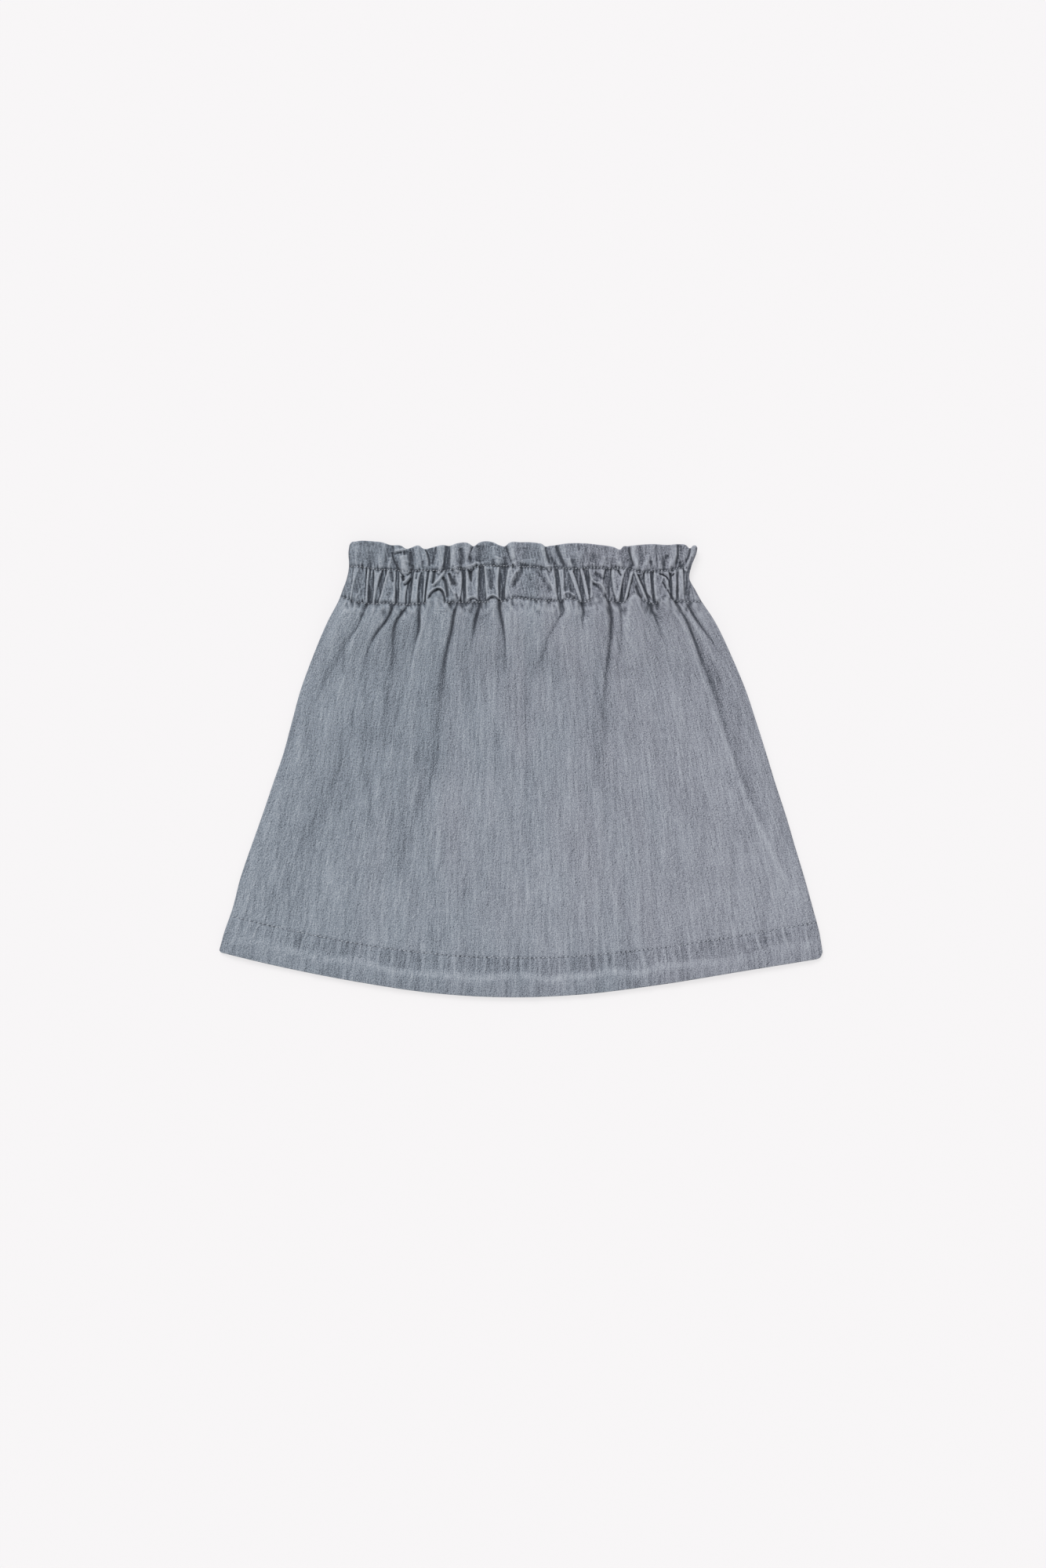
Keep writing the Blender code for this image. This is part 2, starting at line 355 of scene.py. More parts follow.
# %% The rows of waist stitching
UPPER_WANDER = [
    Edge(-114, 0.9),
    Edge(-100, -0.6),
    Edge(-94, -1.7),
    Edge(-84, -1.8),
    Edge(-76, -3),
    Edge(-66, -2.2),
    Edge(-50, -2.2),
    Edge(-40, -1.2),
    Edge(-33, -1.4),
    Edge(-28, 0.4),
    Edge(-16, 0.8),
    Edge(0, 0.4),
    Edge(10, 0.1),
    Edge(18, -1.4),
    Edge(24, -0.6),
    Edge(34, -1.2),
    Edge(46, -0.4),
    Edge(60, -1.1),
    Edge(70, -0.8),
    Edge(79, -3.2),
    Edge(90, -2.6),
    Edge(100, -1.8),
    Edge(107, -0.4),
    Edge(113, -0.8),
]
LOWER_WANDER = [
    Edge(-120, 2.6),
    Edge(-112, -0.6),
    Edge(-98, -2.8),
    Edge(-86, -2.4),
    Edge(-78, -3.4),
    Edge(-68, -2.6),
    Edge(-50, -1.8),
    Edge(-36, -1.8),
    Edge(-24, -1.6),
    Edge(-12, -1.2),
    Edge(-6, 0.9),
    Edge(4, 0.4),
    Edge(16, -0.6),
    Edge(27, -0.8),
    Edge(33, 0.8),
    Edge(40, -1.6),
    Edge(48, -0.6),
    Edge(60, -0.6),
    Edge(68, -2),
    Edge(75, 1.2),
    Edge(82, -0.8),
    Edge(88, -2.8),
    Edge(96, 0.6),
    Edge(104, -1),
    Edge(118, -1.4),
]


def upper_row(x):
    """The row of stitching between the frill and the casing."""
    return UPPER_ROW + edge_y(x, UPPER_WANDER)


def lower_row(x):
    """The row of stitching between the casing and the body."""
    return LOWER_ROW + edge_y(x, LOWER_WANDER)


waist_xs = np.arange(-100, 100)
print(f"the rows are {np.mean(upper_row(waist_xs) - lower_row(waist_xs)):.1f} mm apart")

# %% [markdown]
# ## Ripples
#
# Between the folds the cloth is never quite smooth. Ripples are seeded waves, stretched
# along the cloth's length, so that every run of the script gives the same ones. Puckers
# are ripples that change across the cloth alone, as those along a row of stitching do.

# %% Ripples
RIPPLE_SEED = 7
Ripple = namedtuple("Ripple", "seed across along high")
Pucker = namedtuple("Pucker", "seed across high")


def ripples(x, y, seed, across, along, count=14):
    """Seeded waves about 'across' mm wide and 'along' mm long, between -1 and 1 or so."""
    random = np.random.default_rng(seed)
    total = np.zeros_like(x)
    for _ in range(count):
        fx = random.normal(0.0, 1.0) / across
        fy = random.normal(0.0, 1.0) / along
        total += np.cos(2.0 * np.pi * (fx * x + fy * y + random.random()))
    return total * (2.0 / count) ** 0.5


def rippled(x, y, row):
    """Ripples as wide, as long and as high as their row says."""
    return row.high * ripples(x, y, RIPPLE_SEED + row.seed, row.across, row.along)


def puckered(x, row):
    """Puckers as wide and as high as their row says."""
    return row.high * ripples(x, 0.0 * x, RIPPLE_SEED + row.seed, row.across, row.across)


print("a ripple at the origin:", ripples(np.zeros(1), np.zeros(1), RIPPLE_SEED, 10.0, 50.0))

# %% [markdown]
# ## Folds
#
# Seen from above, gathered cloth is made of faces, which are the tops of folds, with dark
# grooves between them. A face is given by its left and right borders at the top, the middle
# and the foot of its band, and by its height. Where faces overlap, the higher one wins, as
# a fold lying over its neighbour does. Strokes add what is finer: a ridge or a furrow along
# a curve through three points, with a half width at its start and its end.

# %% Helpers for faces and strokes
FLANGE = 0.34
WIDE_FACE = 2.4
NARROWEST = 0.05
GROOVE_LEVEL = 0.7
GROOVE_SEED = 21
GROOVE_ACROSS = 3.6
GROOVE_ALONG = 1.4
JOIN = 7.0
STROKE_STEPS = 8
FADE_IN = 0.12
FADE_OUT = 0.16
SHARE_AT_START = 0.25
SHARE_AT_END = 0.2
Face = namedtuple("Face", "left right high")
Stroke = namedtuple("Stroke", "x0 y0 x1 y1 x2 y2 start end high")


def bent(ends, s):
    """A quadratic curve with the given values at 0, a half and 1."""
    top, middle, foot = ends
    return top * (1 - s) * (1 - 2 * s) + middle * 4 * s * (1 - s) + foot * s * (2 * s - 1)


def groove_floor(x, s):
    """The uneven floor of the grooves between the faces."""
    uneven = 0.5 * ripples(x, s, GROOVE_SEED, GROOVE_ACROSS, GROOVE_ALONG)
    return np.clip(GROOVE_LEVEL * (1.0 + uneven), 0.0, None)


def faced(x, s, rows, soft_edge):
    """Height of the faces at x, s of the way from the top of the band to its foot.

    A wide face sinks a little between its borders, which makes them the worn ridges.
    """
    total = groove_floor(x, s) ** JOIN
    for row in rows:
        left, right = bent(row.left, s), bent(row.right, s)
        half = np.maximum((right - left) / 2.0, NARROWEST)
        t = np.abs(x - (left + right) / 2.0) / half
        edge = np.clip((1.0 - t) * half / np.minimum(soft_edge, half), 0.0, 1.0)
        sunk = FLANGE * np.minimum(half / WIDE_FACE, 1.0) * (1.0 - np.minimum(t, 1.0) ** 2)
        shape = np.sqrt(1.0 - (1.0 - edge) ** 2) * (1.0 - sunk)
        total += (row.high * shape) ** JOIN
    return (total + 1e-12) ** (1.0 / JOIN)


def stroked(x, y, rows):
    """Ridges and furrows along curves, each fading out at its ends."""
    total = np.zeros_like(x)
    steps = np.linspace(0.0, 1.0, STROKE_STEPS + 1)
    for row in rows:
        along_x = bent((row.x0, row.x1, row.x2), steps)
        along_y = bent((row.y0, row.y1, row.y2), steps)
        best = np.full_like(x, 1e9)
        place = np.zeros_like(x)
        for k in range(STROKE_STEPS):
            step_x, step_y = along_x[k + 1] - along_x[k], along_y[k + 1] - along_y[k]
            t = ((x - along_x[k]) * step_x + (y - along_y[k]) * step_y) / (step_x**2 + step_y**2 + 1e-9)
            t = np.clip(t, 0.0, 1.0)
            far = (x - along_x[k] - t * step_x) ** 2 + (y - along_y[k] - t * step_y) ** 2
            nearer = far < best
            best = np.where(nearer, far, best)
            place = np.where(nearer, (k + t) / STROKE_STEPS, place)
        half = lerp(row.start, row.end, place)
        fade = ease(place / FADE_IN + SHARE_AT_START) * ease((1.0 - place) / FADE_OUT + SHARE_AT_END)
        total += row.high * fade * np.exp(-best / half**2)
    return total


print("a curve through 0, 1 and 4:", bent((0, 1, 4), np.linspace(0, 1, 5)))

# %% [markdown]
# ## The casing
#
# The elastic packs the doubled cloth into narrow upright gathers, with a few wide and flat
# faces between them. The strokes at the end of the cell are the finer creases.

# %% The faces of the casing
CASING_FACES = [
    Face((-119, -120, -122), (-110.1, -111.8, -112.9), 1.5),
    Face((-110.1, -111.5, -112.9), (-105.3, -109.6, -111.5), 2.8),
    Face((-107.5, -111, -113), (-101.7, -102.2, -102.6), 1.9),
    Face((-101.2, -102, -102.8), (-99.3, -100.4, -100.8), 3.4),
    Face((-96.8, -96.9, -97.9), (-91.1, -94.3, -96.2), 3.2),
    Face((-87.8, -90.8, -94.4), (-82, -82.3, -82.6), 3.4),
    Face((-80.1, -80.2, -80.2), (-71.5, -74.8, -76.1), 3.4),
    Face((-70.2, -71.6, -72.7), (-65.3, -67.4, -67.8), 3.5),
    Face((-63.8, -64, -64.8), (-60.9, -62.5, -63.4), 3),
    Face((-59.8, -61.7, -62.9), (-38.7, -38.3, -40.2), 3.3),
    Face((-36.4, -36.1, -35.9), (-27.1, -27.6, -27.9), 3.5),
    Face((-24.2, -23.2, -22.5), (-13.2, -14.4, -13.4), 3.5),
    Face((-7.6, -9.9, -10.3), (23, 23.8, 25.2), 3.1),
    Face((24.8, 26.2, 27.1), (29, 29.2, 30.6), 3.3),
    Face((28.6, 29, 30.4), (31.6, 35.4, 39.8), 1.5),
    Face((31.1, 34.8, 39.2), (34.1, 38, 40.9), 3.6),
    Face((39.2, 41.5, 43.9), (41.3, 44.1, 45.8), 3.4),
    Face((44.8, 46, 45.6), (56.3, 55.2, 57), 2.5),
    Face((60.1, 60.7, 63.5), (70.4, 67.3, 65.6), 3.4),
    Face((73, 70.7, 68), (75.2, 73, 70.2), 3.8),
    Face((74.5, 73.1, 71.2), (75.7, 78.9, 83.7), 1.6),
    Face((74.6, 78, 82.6), (76.4, 80.7, 84.8), 3.8),
    Face((82.1, 82.6, 86.2), (86.2, 86.5, 88.4), 3.1),
    Face((88.2, 88.1, 89.8), (98.6, 98.9, 99.7), 3.3),
    Face((99.9, 100.1, 100.7), (103.3, 103.5, 103.2), 3.4),
    Face((104.4, 104.4, 104.5), (107.5, 108.3, 108.7), 3.3),
    Face((111, 113, 115), (117, 119, 122), 1.9),
]
CASING_STROKES = [
    Stroke(-103.5, 121, -107, 116, -109.2, 112.2, 0.7, 0.7, 0.5),
    Stroke(-86.3, 133, -90.4, 122, -94, 112.8, 0.8, 0.7, 0.6),
    Stroke(-85, 130.5, -84.6, 127, -84.4, 123, 1.7, 0.6, -1.4),
    Stroke(-77.6, 127.4, -77.4, 125.6, -76.8, 124.2, 1.5, 0.6, -2.2),
    Stroke(-77.4, 122.6, -75, 124.8, -72.6, 127.6, 0.6, 0.8, 1.8),
    Stroke(-76.6, 120.9, -74.2, 123.2, -72, 126, 0.6, 0.6, -1.7),
    Stroke(-68.2, 131, -68.4, 128, -69, 125, 1, 0.4, -1.2),
    Stroke(-56.8, 131.2, -57.2, 126.5, -57.9, 121.6, 1.2, 0.7, -2.3),
    Stroke(-49.6, 131.4, -54.6, 125, -58.7, 120.6, 0.8, 0.9, 1.1),
    Stroke(-60.4, 111, -58.4, 116.2, -53.6, 118.5, 1.2, 0.8, -1.5),
    Stroke(-55.8, 118.8, -51.8, 117.2, -49.8, 110.6, 0.7, 0.9, -1.7),
    Stroke(-60.8, 114.6, -57.8, 118.6, -53.4, 119.9, 0.6, 0.6, 0.9),
    Stroke(-55.4, 119.9, -50.9, 118.6, -49.2, 113.4, 0.6, 0.5, 1.1),
    Stroke(-51.6, 127, -49, 121.5, -48.4, 112.4, 0.9, 1, -2),
    Stroke(-58.6, 121, -53, 125.4, -50.2, 130.6, 0.6, 0.6, 1),
    Stroke(-48.3, 129.2, -45.8, 119.8, -41, 112.8, 0.7, 0.8, 1.1),
    Stroke(-47.4, 129.6, -45.4, 125, -43.4, 121.2, 0.9, 1.2, -2),
    Stroke(-43.8, 127.8, -43.2, 124, -42, 120.4, 1.2, 1, -0.9),
    Stroke(-42.6, 115.4, -41.4, 113, -40, 110.4, 0.7, 1, -1.5),
    Stroke(-33, 132.2, -32.9, 128, -32.5, 123.4, 1.6, 0.4, -2.7),
    Stroke(-33.4, 111.2, -30.8, 112.3, -28, 110.8, 0.5, 0.5, -1.2),
    Stroke(-34.6, 112, -30.8, 114, -26.9, 110.6, 0.4, 0.4, 1),
    Stroke(-20, 132.4, -19.6, 125, -18.8, 117.8, 2.2, 1.7, -1.3),
    Stroke(-13.9, 132.8, -15, 124, -14.2, 114.4, 0.7, 0.8, 0.6),
    Stroke(-23, 131, -22.7, 122, -22.3, 116, 0.6, 0.7, 0.4),
    Stroke(-21.8, 110.6, -17.6, 112.9, -13.2, 109.6, 0.8, 0.8, -2),
    Stroke(-22.8, 111.6, -17.8, 115, -12.2, 110.2, 0.5, 0.5, 1.2),
    Stroke(1.2, 133.2, -0.8, 127, -5.6, 119.6, 1.8, 1, -1.3),
    Stroke(-2, 130, -2.6, 126.4, -5, 122.4, 1.2, 0.8, -0.7),
    Stroke(3.4, 129, 5.6, 127, 7, 124, 1.6, 1.2, -0.5),
    Stroke(0.2, 133, -4, 128.6, -7.4, 121, 0.9, 0.6, 0.7),
    Stroke(10, 131.6, 15.8, 124.2, 21.6, 115.6, 1.2, 1.6, -0.8),
    Stroke(15.8, 131.6, 19.4, 124, 23.4, 115, 0.9, 0.8, 0.8),
    Stroke(28.6, 114.6, 32, 117, 36.4, 113.4, 0.9, 0.8, 1.3),
    Stroke(44, 131.5, 43.6, 128, 44, 124.5, 0.8, 0.6, -1.2),
    Stroke(45.7, 132, 47.5, 125, 51.2, 123, 0.6, 0.6, 1.5),
    Stroke(51, 123.2, 54.6, 120.4, 57, 115, 0.6, 0.7, 1.7),
    Stroke(47.8, 122.6, 52.6, 119, 56.2, 112.4, 0.9, 0.9, -1.1),
    Stroke(47.1, 125.4, 46.3, 122.4, 45.9, 118.6, 0.6, 0.7, 1),
    Stroke(49, 129.6, 52, 127.6, 55.6, 124.8, 1.5, 1.3, -1.4),
    Stroke(64.6, 131.6, 65.7, 129.2, 66.8, 127.4, 0.7, 0.5, -1.8),
    Stroke(76.4, 121, 78, 116.6, 80.2, 112, 0.8, 1.1, -1.5),
    Stroke(78.4, 127.4, 82, 119.6, 87.8, 110, 0.5, 1.1, -2.4),
    Stroke(80.2, 123.8, 82.4, 118.4, 85.6, 114.6, 0.4, 0.5, 0.9),
    Stroke(79.8, 125.2, 83.4, 117.8, 87.6, 111.6, 0.6, 0.8, 1.5),
    Stroke(85.6, 129.6, 86, 123, 86.6, 117, 0.5, 0.6, 0.6),
    Stroke(91.6, 128.8, 97.4, 125.8, 98.4, 119, 0.4, 0.5, -2),
    Stroke(92, 130.4, 98.6, 127.4, 99, 119, 0.4, 0.4, 0.8),
    Stroke(94, 123.4, 95.2, 121.6, 96.4, 118.8, 0.4, 0.5, -1.6),
    Stroke(92.8, 122.2, 95, 126.4, 97.4, 119.6, 0.5, 0.5, 0.9),
    Stroke(97.2, 118.6, 99, 115, 101, 110.6, 0.5, 0.9, -1.8),
    Stroke(98.6, 128.6, 100.2, 127.6, 101.9, 129.4, 0.5, 0.5, -1.8),
    Stroke(-115.5, 130, -116.6, 122, -118.4, 114, 0.8, 0.8, -0.5),
]
print(len(CASING_FACES), "faces and", len(CASING_STROKES), "strokes in the casing")

# %% [markdown]
# ## The frill
#
# Above the upper row the same gathers open into flutes. Each flute is a face that changes its
# width towards the top edge, and where two flutes overlap, their borders cross.

# %% The faces of the frill
FRILL_FACES = [
    Face((-122, -122, -122), (-86.2, -88.4, -90), 3.5),
    Face((-92, -93, -94), (-80.4, -80, -77.6), 2.6),
    Face((-83.9, -83, -79.6), (-74.9, -76.4, -72.6), 4.6),
    Face((-79, -80, -77), (-68.6, -67.8, -67), 2.7),
    Face((-71.4, -70.2, -69.3), (-63.8, -60.8, -61), 4.3),
    Face((-66, -63.5, -63.5), (-53.4, -54, -54.6), 2.9),
    Face((-55.8, -56.2, -57.6), (-49.2, -49.8, -51.8), 4),
    Face((-46.7, -46.8, -46.8), (-30.8, -33.2, -32.6), 4.2),
    Face((-35, -36, -36), (-5.8, -4.6, -2.8), 3.3),
    Face((-9.4, -7.7, -5.4), (16, 17.6, 20.2), 4.5),
    Face((12.4, 14.2, 18), (27.9, 29.8, 33), 3.1),
    Face((24.5, 26.2, 30), (66.3, 66.6, 70.1), 3.8),
    Face((62.5, 63.2, 64.4), (75.3, 76.4, 77.4), 3.4),
    Face((71.7, 72.8, 75.4), (89.4, 89.9, 90.6), 4.5),
    Face((86.6, 87, 87.8), (104, 104, 102), 4.1),
    Face((100.4, 100.4, 98.4), (112, 111.4, 106.8), 2.3),
    Face((112.3, 112, 107.4), (121, 121, 118), 3.6),
]
FRILL_STROKES = [
    Stroke(-108.2, 148, -108.6, 141, -108.8, 134.6, 1.7, 1.4, 0.5),
    Stroke(-104.7, 147, -105, 141, -105.2, 134.4, 1.2, 1, 0.3),
    Stroke(-111, 145, -110.8, 139, -110.6, 134.6, 1.5, 1.5, -0.6),
    Stroke(-98.2, 144, -98.2, 139, -98.4, 133.4, 2.1, 3.4, -0.7),
    Stroke(-92.6, 140, -92.8, 136, -93, 132.4, 1.2, 1.6, 0.5),
    Stroke(-85.8, 140, -86.2, 136, -87, 132.4, 1.3, 1.5, 1.4),
    Stroke(-77.6, 141.4, -76.4, 135.4, -76.4, 128.2, 2.2, 2.6, 2.6),
    Stroke(-84.4, 143.4, -82.9, 136.6, -79, 129.6, 0.5, 0.6, -1.3),
    Stroke(-79, 129.8, -78, 128, -76.4, 127, 0.5, 0.5, -1.3),
    Stroke(-70.8, 134.8, -71.8, 130.6, -75.6, 127.4, 0.6, 0.6, -1.3),
    Stroke(-83.4, 143.4, -79.2, 144.4, -75, 144.8, 0.8, 0.8, 2),
    Stroke(-83, 141.6, -80.6, 142.6, -78, 143, 0.6, 0.6, -0.9),
    Stroke(-82.4, 146.4, -79, 146.6, -76, 146.2, 0.4, 0.5, -0.5),
    Stroke(-72.6, 143.6, -71.9, 138.6, -72.4, 133, 1, 1.5, -1.1),
    Stroke(-77.4, 136.4, -74, 136.8, -71, 134.8, 0.6, 0.8, 0.6),
    Stroke(-64.2, 137.6, -64.4, 135.2, -64.8, 132.2, 1, 1.4, -1.1),
    Stroke(-58.6, 146, -58.2, 141, -58.6, 134.4, 1.5, 2.1, -0.6),
    Stroke(-63.2, 145.2, -60.4, 139.6, -60.2, 133.6, 0.5, 0.6, -1.1),
    Stroke(-55.6, 147, -56.8, 141, -58, 134.6, 0.5, 0.6, -0.7),
    Stroke(-30.6, 148, -33.2, 142, -32.6, 137, 0.5, 0.6, -1.1),
    Stroke(-9.6, 147.4, -7.9, 141.4, -5.8, 135.2, 0.6, 0.7, -1),
    Stroke(16.6, 146.6, 17.6, 141.4, 19.8, 134.8, 0.6, 0.7, -0.8),
    Stroke(-39.6, 146, -38.4, 140.6, -39.6, 134.4, 1.6, 2.2, -1.6),
    Stroke(-33.2, 140.6, -32.6, 138, -33, 135.4, 1.5, 2.1, -0.6),
    Stroke(-52.4, 133.6, -53.4, 131, -54.2, 128.6, 1.8, 0.7, 2.6),
    Stroke(-43.6, 133.8, -42.4, 131.6, -40.9, 129.4, 1.8, 0.8, 3),
    Stroke(-33.8, 134.8, -33.2, 132.6, -32.5, 130.6, 2.4, 0.9, 3),
    Stroke(-31.6, 133.8, -28.8, 136.2, -26.6, 134, 1.1, 0.9, 1.5),
    Stroke(-26.8, 148, -26.8, 142, -26, 136, 4.4, 3.9, -1),
    Stroke(-18.2, 147.6, -17.6, 143, -16.6, 138.6, 2.4, 2.2, 0.9),
    Stroke(-14.2, 140.2, -14.8, 137.4, -14.8, 134, 2, 2.2, 1.5),
    Stroke(-18.8, 138, -18.4, 136, -18, 134, 1.4, 1.9, -0.5),
    Stroke(-10.2, 140, -9.4, 137.4, -8.4, 134.4, 1.9, 2.6, -0.8),
    Stroke(-6.1, 148, -5.4, 143, -4.2, 138, 1.5, 1.4, 0.5),
    Stroke(-3.6, 139, -0.8, 136, 5.8, 134.2, 1.4, 1.1, -0.6),
    Stroke(-4.6, 136.4, -2.8, 133.9, -0.6, 133, 0.9, 0.9, 1),
    Stroke(2.4, 146.4, 2.6, 142, 3, 138, 5.9, 5.2, -0.6),
    Stroke(15.2, 147.6, 16.8, 140, 19.2, 132.6, 1.4, 1.6, 0.7),
    Stroke(18.8, 134.6, 19.2, 132.2, 18.6, 130.8, 1.8, 1.2, 2.4),
    Stroke(19.8, 139.8, 21.4, 137.4, 23, 134.4, 1.5, 1.5, -0.6),
    Stroke(19.6, 147, 22.6, 139.6, 26.6, 133.6, 1.2, 1, 0.5),
    Stroke(23.6, 148.4, 26, 141, 30, 133.4, 0.8, 1.3, -1.4),
    Stroke(32, 139.6, 32.6, 136, 34, 132.4, 1.3, 1.3, 0.9),
    Stroke(33.8, 138.6, 35.4, 135.8, 38, 134, 1.1, 1.6, -0.5),
    Stroke(38, 144, 38.4, 140, 38, 137, 3, 2.6, 0.4),
    Stroke(49, 142.4, 48.2, 139, 47.2, 136.2, 3.9, 3.4, -0.5),
    Stroke(55.6, 141, 55, 137, 53.8, 133.8, 1.4, 1.4, 0.6),
    Stroke(60.4, 139.4, 60, 136, 59.4, 133.4, 2.9, 2.6, -0.6),
    Stroke(65.4, 136.6, 66.8, 134, 68.4, 132, 1.1, 1.1, 0.8),
    Stroke(72, 139, 72.8, 136, 74.2, 133, 1.5, 1.9, -0.7),
    Stroke(71.8, 146.6, 72.8, 140.4, 75.2, 133.2, 0.6, 0.8, -1),
    Stroke(74.6, 148, 75.4, 141, 78, 132.4, 1.6, 1.4, 0.5),
    Stroke(104, 148.4, 104.2, 141, 102.4, 134.6, 0.6, 0.8, -0.9),
    Stroke(79.2, 147.6, 79.4, 141, 79.6, 134, 1.3, 1.4, -0.6),
    Stroke(84.2, 141.4, 84, 138, 83.4, 133.4, 1.6, 1.5, 0.6),
    Stroke(86.4, 137.6, 86.8, 135, 87.6, 131.4, 1.1, 1.6, -1.2),
    Stroke(105.4, 137.2, 105.6, 134.8, 105.2, 131.8, 1.2, 1.5, -1),
    Stroke(89.7, 148.8, 90, 141, 90.9, 131.4, 0.5, 0.6, -0.7),
    Stroke(98.4, 140.2, 95.8, 138.4, 95.6, 132.6, 1.3, 1.6, -1.2),
    Stroke(99.4, 139, 99, 134.6, 98, 131, 0.9, 0.8, 0.7),
    Stroke(102.4, 146, 102.6, 141, 100, 134, 1, 1, 0.4),
    Stroke(113.8, 140, 112.6, 136, 110.6, 129.4, 0.9, 0.8, -1),
]
print(len(FRILL_FACES), "faces and", len(FRILL_STROKES), "strokes in the frill")

# %% [markdown]
# ## The body's valleys
#
# Under the gathers the body stands in broad folds, and what tells them apart are the valleys
# between them. A valley runs down the skirt through a few places, each with its reach to the
# left and to the right and its depth, from 0 to 1. A short reach is a sharp side. Near the
# waist a valley is a soft shadow with a narrow crease in it, and the crease fades out below.

